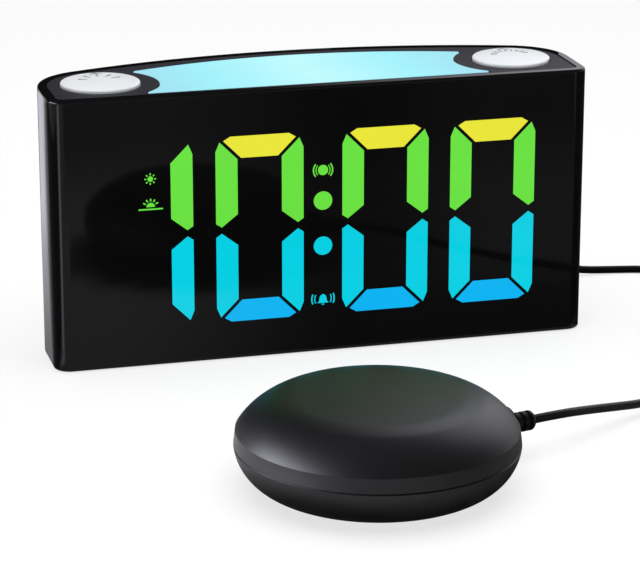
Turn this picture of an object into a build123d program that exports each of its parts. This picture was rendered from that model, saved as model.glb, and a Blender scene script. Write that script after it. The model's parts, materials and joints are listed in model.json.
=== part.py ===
from build123d import *
import math
import os

# Bed shaker alarm clock: a table clock with a lit display, and a round bed shaker on its lead.
# Millimetres. +X is the clock's right seen from its front, +Y its back, +Z up.
# The origin is on the table, in the middle of the footprint of clock and shaker together.

# Clock case: a D-shaped plan with a flat front and a bowed back
CASE_W = 198.5
CASE_D = 59.0
CASE_H = 99.7
BOW_RISE = 19.74
FRONT_CORNER_R = 6.0
REAR_CORNER_R = 22.9
INSIDE_CORNER_R = 1.0
BOTTOM_EDGE_R = 0.8
TOP_EDGE_R = 1.0
WALL = 2.4
RIM_W = 3.2
SHELF_W = 1.4
SHELF_T = 2.2

# Rubber feet under the case
FOOT_D = 11.0
FOOT_T = 1.8
FOOT_PROUD = 0.4
FOOT_SIDE = 21.0
FOOT_FRONT = 10.0
FOOT_BACK = 38.0

# Top plate, set into the rim
PLATE_T = 2.9
PLATE_SINK = 0.3
PLATE_GAP = 0.35

# Round top buttons and the long night-light bar between them
BUTTON_D = 28.6
BUTTON_SIDE = 22.45
BUTTON_FRONT = 23.3
BUTTON_PROUD = 2.0
BUTTON_DOME = 0.9
BUTTON_EDGE_R = 0.8
LENS_FRONT = 5.9
LENS_BACK = 8.75
LENS_RISE = 17.2
LENS_END_R = 21.45
LENS_TIP_R = 0.8
LENS_PROUD = 0.3
LENS_T = 1.8
LENS_EDGE_R = 0.4
LENS_STEM_X = 36.0
KEY_GAP = 0.3
BUTTON_FLANGE = 1.0
LENS_FLANGE = 0.6
KEY_FLANGE_T = 1.2
KEY_SLACK = 0.05
KEY_TRAVEL = 1.0
KEY_SPARE = 0.1
STEM_D = 4.0

# Circuit boards and what is soldered to them
BOARD_T = 1.6
SWITCH_W = 6.0
SWITCH_H = 3.0
PLUNGER_D = 3.4
PLUNGER_H = 0.5
TOP_BOARD_DROP = 8.1
TOP_BOARD_SIDE = 5.7
TOP_BOARD_FRONT = 7.25
TOP_BOARD_D = 29.5
POST_D = 3.6
CORNER_POST_D = 5.0
POST_RING = 17.6
CORNER_POST_RING = 18.6
LIGHT_W = 3.0
LIGHT_H = 1.2
LIGHTS = 8
LIGHT_PITCH = 13.0

# Display digits, seven bars each
DIGIT_ABOVE = 16.4
DIGIT_BELOW = 14.55
DIGIT_SIDE = 19.35
DIGIT_GAP = 8.3
COLON_ROOM = 14.4
DIGITS_LEFT = 1.05
BAR_W = 8.0
BAR_CORNER = 5.4
BAR_NICK = 1.5
UPRIGHT_MITRE = 0.35
LEVEL_MITRE = 1.35
WAIST_INNER = 5.75
WAIST_TIP = 1.15
WAIST_TIP_IN = 2.1
WAIST_OUTER = 2.55
COLON_R = 3.45
COLON_RISE = 8.45
INLAY_T = 0.8
REFLECTOR_T = 6.0
REFLECTOR_SIDE = 4.0
REFLECTOR_EDGE = 2.0
CHIP_L = 2.0
CHIP_W = 1.2
CHIP_H = 0.8

# Display board on four bosses behind the front wall
FRONT_BOSS_D = 6.0
FRONT_BOSS_SIDE = 9.2
FRONT_BOSS_IN = 1.375
DISPLAY_BOARD_SIDE = 6.0

# Small screws, their pilot holes and clearance holes
SCREW_D = 2.6
SCREW_HEAD_D = 5.0
SCREW_HEAD_H = 1.6
SCREW_L = 7.0
SCREW_FIT = 0.05
SCREW_ROOM = 0.3

# Rear cover, let into the bowed back
COVER_T = 2.2
COVER_GAP = 0.15
COVER_SIDE = 17.0
COVER_BOTTOM = 6.6
COVER_TOP = 7.7
COVER_CORNER_R = 6.0
LEDGE_W = 5.0
LEDGE_T = 2.3
COVER_SCREW_X = 45.0
COVER_SCREW_EDGE = 2.8
COVER_BOSS_D = 6.6
COVER_BOSS_L = 8.0

# Socket bay, a flat recess in the rear cover
BAY_X = 18.0
BAY_Z = 24.5
BAY_W = 76.0
BAY_H = 19.0
BAY_FLOOR = 10.75
BAY_CORNER_R = 3.0
SOCKET_L = 14.2
SOCKET_SINK = 0.2
SOCKET_GAP = 0.2
DC_X = -10.0
DC_W = 9.0
DC_H = 11.0
DC_BORE_D = 6.3
DC_PIN_D = 2.0
DC_BORE_L = 10.0
USB_X = (8.0, 25.0)
USB_W = 13.1
USB_H = 5.7
USB_WALL = 0.4
USB_TONGUE_W = 11.1
USB_TONGUE_T = 1.8
USB_TONGUE_RISE = 1.0
USB_BACK_L = 3.0
JACK_X = 44.0
JACK_W = 9.0
JACK_BUSH_D = 7.6
JACK_PIN_D = 3.5
JACK_PIN_L = 12.5
JACK_FIT = 0.05

# Main board behind the rear cover
MAIN_X = 24.0
MAIN_W = 88.0
MAIN_LOW = 10.0
MAIN_GAP = 5.8
MAIN_POST_D = 6.0
MAIN_POST_SIDE = 4.0
MAIN_POST_TOP = 4.0
MAIN_POST_BAY = 8.0
CHIP_SIDE = 14.0
CHIP_T = 1.6

# Setting buttons, mode switch and dimmer wheel on the rear
SET_X = 34.0
SET_DROPS = (24.7, 41.7)
SET_D = 9.0
SET_PROUD = 1.2
SET_FLANGE = 1.5
SET_FLANGE_T = 1.2
SET_TRAVEL = 0.8
MODE_X = 49.0
MODE_DROP = 32.7
MODE_THROW = 3.0
MODE_TAB_W = 4.0
MODE_TAB_H = 6.0
MODE_PROUD = 1.2
MODE_PLATE_W = 9.0
MODE_PLATE_T = 1.2
MODE_BODY_W = 8.0
MODE_BODY_H = 16.0
MODE_BODY_L = 6.0
SLIDE_GAP = 0.2
WHEEL_SIDE = 33.25
WHEEL_OVER_BAY = 23.0
WHEEL_R = 9.0
WHEEL_T = 3.2
WHEEL_PROUD = 2.0
WHEEL_NOTCHES = 24
NOTCH_R = 0.5
WHEEL_ROOM = 0.5
PIVOT_D = 4.0
PIVOT_FIT = 0.05
POT_W = 10.0
POT_H = 4.0
POT_SHELF_T = 1.8

# Loudspeaker behind the slots of the rear cover
SPEAKER_X = -45.0
SPEAKER_DROP = 42.7
SPEAKER_D = 40.0
SPEAKER_SEAT = 13.25
SPEAKER_RING_T = 2.0
SPEAKER_FLANGE_T = 1.2
SPEAKER_CONE_D = 34.0
SPEAKER_COIL_D = 14.0
SPEAKER_DEPTH = 7.0
SPEAKER_BACK_D = 24.0
MAGNET_D = 22.0
MAGNET_T = 6.0
CONE_T = 0.5
SLOT_W = 2.2
SLOT_PITCH = 4.4
SLOTS = 7
GRILLE_D = 34.0

# Back-up battery drawer, a flat tray that pulls out of the rear cover
TRAY_X = -50.0
TRAY_Z = 14.3
TRAY_W = 24.0
TRAY_H = 4.0
TRAY_END = 26.25
TRAY_FLOOR = 0.6
TRAY_GAP = 0.2
TRAY_GRIP_R = 4.0
HOLDER_WALL = 1.2
HOLDER_END = 2.0
CELL_D = 20.0
CELL_T = 3.2
CELL_EDGE = 12.0
CELL_GAP = 0.1
CONTACT_T = 0.25
CONTACT_W = 5.0

# Bed shaker: a round puck of two shells, ahead of the clock
SHAKER_X = -18.21
SHAKER_AHEAD = 161.3
PUCK_R = 46.2
PUCK_H = 30.8
SEAM_Z = 14.7
SEAM_CUT = 0.35
CREASE_IN = 0.6
CREASE_Z = 19.7
DISC_IN = 16.1
DISC_Z = 30.1
DOME_RISE = 1.85
BASE_IN = 15.4
BASE_Z = 0.5
BOWL_RISE = 3.92
PUCK_WALL = 2.2
TONGUE_IN = 0.9
TONGUE_T = 1.3
TONGUE_H = 2.5
PAD_IN = 3.2
PAD_SINK = 0.8
PUCK_SCREWS = 3
PUCK_BOSS_IN = 11.8
PUCK_BOSS_D = 7.5
PUCK_SCREW_Z = 8.0
PUCK_SCREW_L = 12.0
HEAD_ROOM = 0.3

# Shaker motor, lying on its side, with its lopsided weight
MOTOR_D = 20.0
MOTOR_L = 26.0
MOTOR_BACK = -18.0
MOTOR_Z = 15.0
BUSH_D = 6.0
BUSH_L = 1.5
SHAFT_D = 2.0
SHAFT_IN = 14.0
SHAFT_OUT = 13.0
SHAFT_FIT = 0.05
WEIGHT_R = 9.0
WEIGHT_T = 8.0
WEIGHT_GAP = 1.5
WEIGHT_HUB_R = 3.0
CRADLE_T = 2.5
CRADLE_W = 27.0
CRADLE_IN = 3.0
CRADLE_GAP = 0.1
CLAMP_W = 9.0
CLAMP_T = 1.5
CLAMP_TAB = 7.0
CLAMP_POST_W = 6.5

# Strain relief where the lead leaves the puck
RELIEF_ANGLE = 14.5
RELIEF_Z = 11.6
RELIEF_D = 6.7
RELIEF_FLANGE_D = 12.0
RELIEF_FLANGE_T = 5.6
RELIEF_SEAT_IN = 2.1
RELIEF_INNER_D = 9.6
RELIEF_INNER_T = 1.3
RELIEF_INNER_IN = 4.7
RELIEF_OUT = 12.9
RELIEF_GAP = 0.15
RELIEF_RING_W = 1.0
RELIEF_RING_T = 0.7
RELIEF_RINGS = (1.3, 3.95, 6.6)
RELIEF_NOSE_R = 1.4

# Lead, its put-away coil and the tie round the coil
CORD_D = 3.0
CORD_SIDES = 8
COIL_X = 146.0
COIL_Y = 39.4
COIL_PITCH = 3.55
COIL_OUT_R = 22.44
COIL_START = -60.0
LAYER_TURNS = (3.25, 3.25, 3.25, 2.0 + 11.0 / 12.0)
TURN_BACK = 0.5
TIE_T = 0.8
TIE_W = 3.5
TIE_ROOM = 0.3
TIE_ANGLE = 150.0
TIE_CORNER_R = 2.0
RELIEF_RUN = 11.0
COIL_RUN = 12.0
COIL_EXIT_RUN = 10.0
PLUG_RUN = 12.0

# Right-angled plug in the clock's shaker socket
PLUG_SHANK_D = 8.0
PLUG_OUT = 11.0
PLUG_HEAD_D = 8.6
PLUG_HEAD_BACK = 5.0
PLUG_HEAD_L = 9.0
PLUG_END = 22.0
PLUG_NECK_D = 6.4
PLUG_TAIL_D = 4.4
PLUG_EDGE_R = 1.2

# Places worked out from the sizes above
HALF_W = CASE_W / 2
FRONT_Y = -CASE_D / 2
BACK_Y = CASE_D / 2
BACK_R = (HALF_W**2 + BOW_RISE**2) / (2 * BOW_RISE)
BOW_Y = BACK_Y - BACK_R
REACH = 2 * CASE_D
FLOOR_TOP = FOOT_PROUD + WALL
PLATE_TOP = CASE_H - PLATE_SINK
PLATE_BOTTOM = PLATE_TOP - PLATE_T
SHELF_BOTTOM = PLATE_BOTTOM - SHELF_T
BUTTON_X = HALF_W - BUTTON_SIDE
BUTTON_Y = FRONT_Y + BUTTON_FRONT
LENS_BACK_R = (BUTTON_X**2 + LENS_RISE**2) / (2 * LENS_RISE)
TOP_BOARD_Z = PLATE_BOTTOM - TOP_BOARD_DROP
KEY_TOP_Z = PLATE_BOTTOM - KEY_SLACK
STEM_Z = TOP_BOARD_Z + SWITCH_H + PLUNGER_H + KEY_TRAVEL + KEY_SPARE
INNER_FRONT_Y = FRONT_Y + WALL
REFLECTOR_Y = INNER_FRONT_Y + REFLECTOR_T
DISPLAY_BACK_Y = REFLECTOR_Y + BOARD_T
DIGIT_H = CASE_H - DIGIT_ABOVE - DIGIT_BELOW
DIGIT_Z = DIGIT_BELOW + DIGIT_H / 2
DIGIT_W = (HALF_W - DIGIT_SIDE - DIGIT_GAP - COLON_ROOM / 2) / 2
INNER_DIGIT_X = COLON_ROOM / 2 + DIGIT_W / 2
OUTER_DIGIT_X = INNER_DIGIT_X + DIGIT_W + DIGIT_GAP
DIGITS_X = [x - DIGITS_LEFT for x in (-OUTER_DIGIT_X, -INNER_DIGIT_X, INNER_DIGIT_X, OUTER_DIGIT_X)]
BAY_Y = BACK_Y - BAY_FLOOR
BAY_TOP = BAY_Z + BAY_H / 2
MAIN_Y = BAY_Y - SOCKET_SINK - SOCKET_L
MAIN_TOP = TOP_BOARD_Z - BOARD_T - MAIN_GAP
MAIN_H = MAIN_TOP - MAIN_LOW
MAIN_Z = MAIN_LOW + MAIN_H / 2
SET_Z = [CASE_H - drop for drop in SET_DROPS]
MODE_Z = CASE_H - MODE_DROP
WHEEL_X = CASE_W / 2 - WHEEL_SIDE
WHEEL_Z = BAY_TOP + WHEEL_OVER_BAY
SPEAKER_Z = CASE_H - SPEAKER_DROP
COVER_HALF = HALF_W - COVER_SIDE
COVER_Z0 = FOOT_PROUD + COVER_BOTTOM
COVER_Z1 = CASE_H - COVER_TOP
SPEAKER_Y = BACK_Y - SPEAKER_SEAT
TRAY_Y0 = BACK_Y - COVER_T - TRAY_END - HOLDER_END
CELL_Y = TRAY_Y0 + CELL_EDGE
CLOCK_Y = (SHAKER_AHEAD + PUCK_R + FRONT_Y) / 2
SHAKER_Y = CLOCK_Y - SHAKER_AHEAD
CREASE_R = PUCK_R - CREASE_IN
DISC_R = PUCK_R - DISC_IN
BASE_R = PUCK_R - BASE_IN
PAD_R = BASE_R - PAD_IN
PUCK_BOSS_RING = PUCK_R - PUCK_BOSS_IN
RELIEF_SEAT = PUCK_R - RELIEF_SEAT_IN
RELIEF_INNER_AT = PUCK_R - RELIEF_INNER_IN
RELIEF_TIP = PUCK_R + RELIEF_OUT
LAYERS = len(LAYER_TURNS)
COIL_Z = TIE_T + TIE_ROOM + CORD_D / 2
COIL_IN_R = COIL_OUT_R - COIL_PITCH * LAYER_TURNS[0]

nodes = {}


def rise(outline, z0, z1):
    return extrude(Pos(0, 0, z0) * outline, z1 - z0)


def push(outline, y0, y1):
    return extrude(Plane.XZ.offset(-y0) * outline, y0 - y1)


def slide(outline, x0, x1):
    return extrude(Plane.YZ.offset(x0) * outline, x1 - x0)


def block(x0, x1, y0, y1, z0, z1):
    middle = Pos((x0 + x1) / 2, (y0 + y1) / 2, (z0 + z1) / 2)
    return middle * Box(x1 - x0, y1 - y0, z1 - z0)


def bow(x, inset=0.0):
    """How far back the bowed back lies at x, or a surface inset from it."""
    return BOW_Y + math.sqrt((BACK_R - inset) ** 2 - x**2)


def drum(inset):
    """Everything ahead of the bowed back, or of a surface inset from it."""
    return rise(Pos(0, BOW_Y) * Circle(BACK_R - inset), 0, 2 * CASE_H)


def plan(inset, back_inset=None):
    """The case's D-shaped outline, moved inwards."""
    back = inset if back_inset is None else back_inset
    half = HALF_W - inset
    front = FRONT_Y + inset
    side = bow(half, back)
    with BuildSketch() as outline:
        with BuildLine():
            Polyline((half, side), (half, front), (-half, front), (-half, side))
            ThreePointArc((-half, side), (0, bow(0, back)), (half, side))
        make_face()
        fillet(outline.vertices().group_by(Axis.Y)[0], max(FRONT_CORNER_R - inset, INSIDE_CORNER_R))
        fillet(outline.vertices().group_by(Axis.Y)[-1], max(REAR_CORNER_R - inset, INSIDE_CORNER_R))
    return outline.sketch


def both_sides(x, y=0.0):
    return [Pos(-x, y), Pos(x, y)]


def screw(length):
    """A screw, its head above z = 0 and its shank below."""
    return rise(Circle(SCREW_HEAD_D / 2), 0, SCREW_HEAD_H) + rise(Circle(SCREW_D / 2), -length, 0)


# Display bars: an upright and a level bar, turned and mirrored into the seven places of a digit
def bar_outlines():
    w = DIGIT_W / 2
    h = DIGIT_H / 2
    upright = make_face(Polyline(
        (-w, h - BAR_CORNER),
        (-w + BAR_NICK, h - BAR_NICK - UPRIGHT_MITRE),
        (-w + BAR_W, h - BAR_W - UPRIGHT_MITRE),
        (-w + BAR_W, WAIST_INNER),
        (-w + WAIST_TIP_IN, WAIST_TIP),
        (-w, WAIST_OUTER),
        close=True,
    ))
    half_level = make_face(Polyline(
        (0, h),
        (-w + BAR_CORNER, h),
        (-w + BAR_NICK + LEVEL_MITRE, h - BAR_NICK),
        (-w + BAR_W + LEVEL_MITRE, h - BAR_W),
        (0, h - BAR_W),
        close=True,
    ))
    half_waist = make_face(Polyline(
        (0, BAR_W / 2),
        (-w + BAR_W + LEVEL_MITRE, BAR_W / 2),
        (-w + WAIST_TIP_IN + LEVEL_MITRE, 0),
        (-w + BAR_W + LEVEL_MITRE, -BAR_W / 2),
        (0, -BAR_W / 2),
        close=True,
    ))
    level = half_level + mirror(half_level, Plane.YZ)
    waist = half_waist + mirror(half_waist, Plane.YZ)
    return {
        "top": level,
        "bottom": mirror(level, Plane.XZ),
        "waist": waist,
        "upper_left": upright,
        "upper_right": mirror(upright, Plane.YZ),
        "lower_left": mirror(upright, Plane.XZ),
        "lower_right": mirror(mirror(upright, Plane.YZ), Plane.XZ),
    }


ZERO = ("top", "bottom", "upper_left", "upper_right", "lower_left", "lower_right")
ONE = ("upper_right", "lower_right")
SHOWN = (ONE, ZERO, ZERO, ZERO)
BAR_NODES = {
    "top": "display_top_bars",
    "upper_left": "display_upper_bars",
    "upper_right": "display_upper_bars",
    "lower_left": "display_lower_bars",
    "lower_right": "display_lower_bars",
    "bottom": "display_base_bars",
}
DARK_NODE = "display_dark_bars"
faces = {name: [] for name in (*BAR_NODES.values(), DARK_NODE)}
for digit_x, shown in zip(DIGITS_X, SHOWN):
    for place, outline in bar_outlines().items():
        name = BAR_NODES[place] if place in shown else DARK_NODE
        faces[name].append(Pos(digit_x, DIGIT_Z) * outline)
faces["display_upper_bars"].append(Pos(-DIGITS_LEFT, DIGIT_Z + COLON_RISE) * Circle(COLON_R))
faces["display_lower_bars"].append(Pos(-DIGITS_LEFT, DIGIT_Z - COLON_RISE) * Circle(COLON_R))
cells = [outline for outlines in faces.values() for outline in outlines]
for name, outlines in faces.items():
    nodes[name] = [push(outline, FRONT_Y, FRONT_Y + INLAY_T) for outline in outlines]


# Cabinet: one moulding with front, sides, floor and rim, open at the top and the back
def cover_window(shrink):
    width = 2 * (COVER_HALF - shrink)
    height = COVER_Z1 - COVER_Z0 - 2 * shrink
    corner = max(COVER_CORNER_R - shrink, INSIDE_CORNER_R)
    return push(Pos(0, (COVER_Z0 + COVER_Z1) / 2) * RectangleRounded(width, height, corner), 0, REACH)


foot_places = [
    Pos(side * (HALF_W - FOOT_SIDE), FRONT_Y + ahead)
    for side in (-1, 1)
    for ahead in (FOOT_FRONT, FOOT_BACK)
]
cover_screw_places = [
    (side * COVER_SCREW_X, z)
    for side in (-1, 1)
    for z in (COVER_Z0 + COVER_SCREW_EDGE, COVER_Z1 - COVER_SCREW_EDGE)
]
front_boss_places = [
    (side * (HALF_W - FRONT_BOSS_SIDE), DIGIT_Z + lift * (DIGIT_H / 2 - FRONT_BOSS_IN))
    for side in (-1, 1)
    for lift in (-1, 1)
]


def cover_seat(x):
    """Where a rear screw's head seats: the lower side of the bowed cover under the head."""
    return bow(abs(x) + SCREW_HEAD_D / 2)


frame_inset = COVER_T + LEDGE_T
cabinet = rise(plan(0), FOOT_PROUD, CASE_H)
cabinet = fillet(cabinet.edges().group_by(Axis.Z)[0], BOTTOM_EDGE_R)
cabinet = fillet(cabinet.edges().group_by(Axis.Z)[-1], TOP_EDGE_R)
cabinet -= rise(plan(WALL, frame_inset), FLOOR_TOP, SHELF_BOTTOM)
cabinet -= rise(plan(RIM_W + SHELF_W), SHELF_BOTTOM, PLATE_BOTTOM)
cabinet -= rise(plan(RIM_W), PLATE_BOTTOM, CASE_H)
cabinet -= cover_window(-COVER_GAP) - drum(COVER_T)
for x, z in cover_screw_places:
    depth = bow(abs(x), frame_inset)
    cabinet += push(Pos(x, z) * Circle(COVER_BOSS_D / 2), depth - COVER_BOSS_L, depth + LEDGE_T / 2)
cabinet -= cover_window(LEDGE_W)
for x, z in cover_screw_places:
    cabinet -= push(Pos(x, z) * Circle(SCREW_D / 2 + SCREW_FIT), cover_seat(x) - SCREW_L - SCREW_ROOM, REACH)
for x, z in front_boss_places:
    cabinet += push(Pos(x, z) * Circle(FRONT_BOSS_D / 2), INNER_FRONT_Y - WALL / 2, REFLECTOR_Y)
    cabinet -= push(Pos(x, z) * Circle(SCREW_D / 2 + SCREW_FIT), INNER_FRONT_Y, REFLECTOR_Y)
for place in foot_places:
    cabinet -= place * rise(Circle(FOOT_D / 2), 0, FOOT_T)
cabinet -= [push(cell, FRONT_Y, FRONT_Y + INLAY_T) for cell in cells]
nodes["cabinet"] = [cabinet]
nodes["rubber_feet"] = [place * rise(Circle(FOOT_D / 2), 0, FOOT_T) for place in foot_places]

# Display module: a reflector with one cell for each bar, and its board with one light for each cell
reflector_half = OUTER_DIGIT_X + DIGIT_W / 2 + REFLECTOR_SIDE
reflector_outline = Pos(0, DIGIT_Z) * Rectangle(2 * reflector_half, DIGIT_H + 2 * REFLECTOR_EDGE)
reflector = push(reflector_outline, INNER_FRONT_Y, REFLECTOR_Y)
reflector -= [push(cell, INNER_FRONT_Y, REFLECTOR_Y) for cell in cells]
nodes["digit_reflector"] = [reflector]

board_half = HALF_W - DISPLAY_BOARD_SIDE
board_outline = Pos(0, DIGIT_Z) * Rectangle(2 * board_half, DIGIT_H + 2 * REFLECTOR_EDGE)
display_board = push(board_outline, REFLECTOR_Y, DISPLAY_BACK_Y)
for x, z in front_boss_places:
    display_board -= push(Pos(x, z) * Circle((SCREW_D + SCREW_ROOM) / 2), REFLECTOR_Y, DISPLAY_BACK_Y)
nodes["display_board"] = [display_board]
nodes["segment_lights"] = [
    Pos(cell.center().X, REFLECTOR_Y - CHIP_H / 2, cell.center().Y) * Box(CHIP_W, CHIP_H, CHIP_L)
    for cell in cells
]
nodes["display_screws"] = [
    Pos(x, DISPLAY_BACK_Y, z) * Rot(-90, 0, 0) * screw(REFLECTOR_T + BOARD_T - SCREW_ROOM)
    for x, z in front_boss_places
]


# Top plate with the holes for its keys, and posts that carry the top board
def lens_outline(grow):
    """The night-light bar in plan: straight front, bowed back, ends hollowed round the buttons."""
    front = FRONT_Y + LENS_FRONT - grow
    strip = Pos(0, (front + BACK_Y) / 2) * Rectangle(2 * BUTTON_X, BACK_Y - front)
    strip &= Pos(0, BACK_Y - LENS_BACK - LENS_BACK_R) * Circle(LENS_BACK_R + grow)
    for place in both_sides(BUTTON_X, BUTTON_Y):
        strip -= place * Circle(LENS_END_R - grow)
    return fillet(strip.vertices(), LENS_TIP_R)


corner = CORNER_POST_RING / math.sqrt(2)
post_places = both_sides(BUTTON_X - POST_RING, BUTTON_Y)
corner_post_places = both_sides(BUTTON_X + corner, BUTTON_Y - corner)
top_plate = rise(plan(RIM_W + PLATE_GAP), PLATE_BOTTOM, PLATE_TOP)
for places, size in ((post_places, POST_D), (corner_post_places, CORNER_POST_D)):
    for place in places:
        top_plate += place * rise(Circle(size / 2), TOP_BOARD_Z, PLATE_BOTTOM)
for place in both_sides(BUTTON_X, BUTTON_Y):
    top_plate -= place * rise(Circle(BUTTON_D / 2 + KEY_GAP), PLATE_BOTTOM, CASE_H)
top_plate -= rise(lens_outline(KEY_GAP), PLATE_BOTTOM, CASE_H)
nodes["top_plate"] = [top_plate]


# Round buttons: a domed cap through the plate, a flange that stops under it, and a stem
def round_button():
    top = PLATE_TOP + BUTTON_PROUD
    r = BUTTON_D / 2
    flange_r = r + BUTTON_FLANGE
    flange_z = KEY_TOP_Z - KEY_FLANGE_T
    shoulder = top - BUTTON_DOME
    dome_r = (r**2 + BUTTON_DOME**2) / (2 * BUTTON_DOME)
    halfway = top - dome_r + math.sqrt(dome_r**2 - r**2 / 4)
    with BuildSketch() as half:
        with BuildLine():
            Polyline(
                (0, top), (0, STEM_Z), (STEM_D / 2, STEM_Z), (STEM_D / 2, flange_z),
                (flange_r, flange_z), (flange_r, KEY_TOP_Z), (r, KEY_TOP_Z), (r, shoulder),
            )
            ThreePointArc((r, shoulder), (r / 2, halfway), (0, top))
        make_face()
        edge = half.vertices().sort_by_distance((r, shoulder))[0]
        fillet(edge, BUTTON_EDGE_R)
    return revolve(Plane.XZ * half.sketch, Axis.Z)


button = round_button()
nodes["hour_button"] = [Pos(-BUTTON_X, BUTTON_Y) * button]
nodes["minute_button"] = [Pos(BUTTON_X, BUTTON_Y) * button]

# Night-light bar: a hollow translucent bar that is pressed as the snooze key
lens_top = PLATE_TOP + LENS_PROUD
lens_flange_z = KEY_TOP_Z - KEY_FLANGE_T
lens = rise(lens_outline(0), KEY_TOP_Z, lens_top)
lens = fillet(lens.edges().group_by(Axis.Z)[-1], LENS_EDGE_R)
lens += rise(lens_outline(LENS_FLANGE), lens_flange_z, KEY_TOP_Z)
lens -= rise(lens_outline(-LENS_T), lens_flange_z, lens_top - LENS_T)
for place in both_sides(LENS_STEM_X, BUTTON_Y):
    lens += place * rise(Circle(STEM_D / 2), STEM_Z, lens_top - LENS_T / 2)
nodes["night_light_bar"] = [lens]

# Top board under the plate, with a key switch below each stem and the night light's lamps
top_board_y = FRONT_Y + TOP_BOARD_FRONT + TOP_BOARD_D / 2
top_board_outline = Pos(0, top_board_y) * Rectangle(CASE_W, TOP_BOARD_D) & plan(TOP_BOARD_SIDE)
nodes["top_board"] = [rise(top_board_outline, TOP_BOARD_Z - BOARD_T, TOP_BOARD_Z)]
key_switch = rise(Rectangle(SWITCH_W, SWITCH_W), 0, SWITCH_H)
key_switch += rise(Circle(PLUNGER_D / 2), SWITCH_H, SWITCH_H + PLUNGER_H)
key_places = both_sides(BUTTON_X, BUTTON_Y) + both_sides(LENS_STEM_X, BUTTON_Y)
nodes["top_key_switches"] = [Pos(0, 0, TOP_BOARD_Z) * place * key_switch for place in key_places]
lamp_y = BUTTON_Y + SWITCH_W + LIGHT_W
nodes["night_light_lamps"] = [
    Pos((i - (LIGHTS - 1) / 2) * LIGHT_PITCH, lamp_y, TOP_BOARD_Z + LIGHT_H / 2)
    * Box(LIGHT_W, LIGHT_W, LIGHT_H)
    for i in range(LIGHTS)
]

# Rear cover: a bowed sheet with a socket bay, loudspeaker slots, key holes and board posts
inner_drum = drum(COVER_T / 2)
main_post_places = [
    (MAIN_X + side * (MAIN_W / 2 - MAIN_POST_SIDE), z)
    for side in (-1, 1)
    for z in (MAIN_TOP - MAIN_POST_TOP, BAY_TOP + MAIN_POST_BAY)
]
wheel_y = bow(WHEEL_X) + WHEEL_PROUD - WHEEL_R
wheel_z0 = WHEEL_Z - WHEEL_T / 2
pot_z = wheel_z0 - SLIDE_GAP - POT_H
mode_plate_y = bow(MODE_X + MODE_PLATE_W / 2, COVER_T) - SLIDE_GAP
set_flange_y = bow(SET_X + SET_D / 2 + SET_FLANGE, COVER_T) - SLIDE_GAP
usb_z = BAY_Z


def bay_outline(grow):
    return Pos(BAY_X, BAY_Z) * RectangleRounded(BAY_W + 2 * grow, BAY_H + 2 * grow, BAY_CORNER_R + grow)


def tray_window(grow):
    return Pos(TRAY_X, TRAY_Z + TRAY_H / 2) * Rectangle(TRAY_W + 2 * grow, TRAY_H + 2 * grow)


cover = (cover_window(0) & drum(0)) - drum(COVER_T)
cover += push(bay_outline(COVER_T), BAY_Y - COVER_T, REACH) & inner_drum
cover -= push(bay_outline(0), BAY_Y, REACH)
ring = Circle(SPEAKER_D / 2) - Circle(SPEAKER_D / 2 - SPEAKER_RING_T)
cover += push(Pos(SPEAKER_X, SPEAKER_Z) * ring, SPEAKER_Y, REACH) & inner_drum
for i in range(SLOTS):
    lift = (i - (SLOTS - 1) / 2) * SLOT_PITCH
    length = math.sqrt(GRILLE_D**2 - (2 * lift) ** 2)
    cover -= push(Pos(SPEAKER_X, SPEAKER_Z + lift) * SlotOverall(length, SLOT_W), SPEAKER_Y, REACH)
for x, z in main_post_places:
    cover += push(Pos(x, z) * Circle(MAIN_POST_D / 2), MAIN_Y, REACH) & inner_drum
    cover -= push(Pos(x, z) * Circle(SCREW_D / 2 + SCREW_FIT), MAIN_Y, MAIN_Y + SCREW_L)
pot_shelf = block(
    WHEEL_X - POT_W / 2, WHEEL_X + POT_W / 2, wheel_y - POT_W / 2, REACH, pot_z - POT_SHELF_T, pot_z
)
cover += pot_shelf & inner_drum
wheel_slot_w = 2 * (math.sqrt(WHEEL_R**2 - (WHEEL_R - WHEEL_PROUD - COVER_T) ** 2) + WHEEL_ROOM)
wheel_slot = Pos(WHEEL_X, WHEEL_Z) * Rectangle(wheel_slot_w + COVER_T, WHEEL_T + 2 * WHEEL_ROOM)
cover -= push(wheel_slot, wheel_y, REACH)
mode_slot = Pos(MODE_X, MODE_Z) * Rectangle(
    MODE_TAB_W + 2 * SLIDE_GAP, MODE_TAB_H + 2 * (MODE_THROW + SLIDE_GAP)
)
cover -= push(mode_slot, mode_plate_y, REACH)
for z in SET_Z:
    cover -= push(Pos(SET_X, z) * Circle(SET_D / 2 + KEY_GAP), set_flange_y, REACH)
for x, z in cover_screw_places:
    cover -= push(Pos(x, z) * Circle((SCREW_D + SCREW_ROOM) / 2), 0, REACH)
    cover -= push(Pos(x, z) * Circle((SCREW_HEAD_D + SCREW_ROOM) / 2), cover_seat(x), REACH)
cover -= push(tray_window(TRAY_GAP), 0, REACH)
dc_window = Pos(DC_X, BAY_Z) * Rectangle(DC_W + 2 * SOCKET_GAP, DC_H + 2 * SOCKET_GAP)
cover -= push(dc_window, 0, REACH)
for x in USB_X:
    usb_window = Pos(x, usb_z) * Rectangle(USB_W + 2 * SOCKET_GAP, USB_H + 2 * SOCKET_GAP)
    cover -= push(usb_window, 0, REACH)
cover -= push(Pos(JACK_X, BAY_Z) * Circle(JACK_BUSH_D / 2 + SOCKET_GAP), 0, REACH)
nodes["rear_cover"] = [cover]
nodes["cover_screws"] = [
    Pos(x, cover_seat(x), z) * Rot(-90, 0, 0) * screw(SCREW_L) for x, z in cover_screw_places
]

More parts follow.
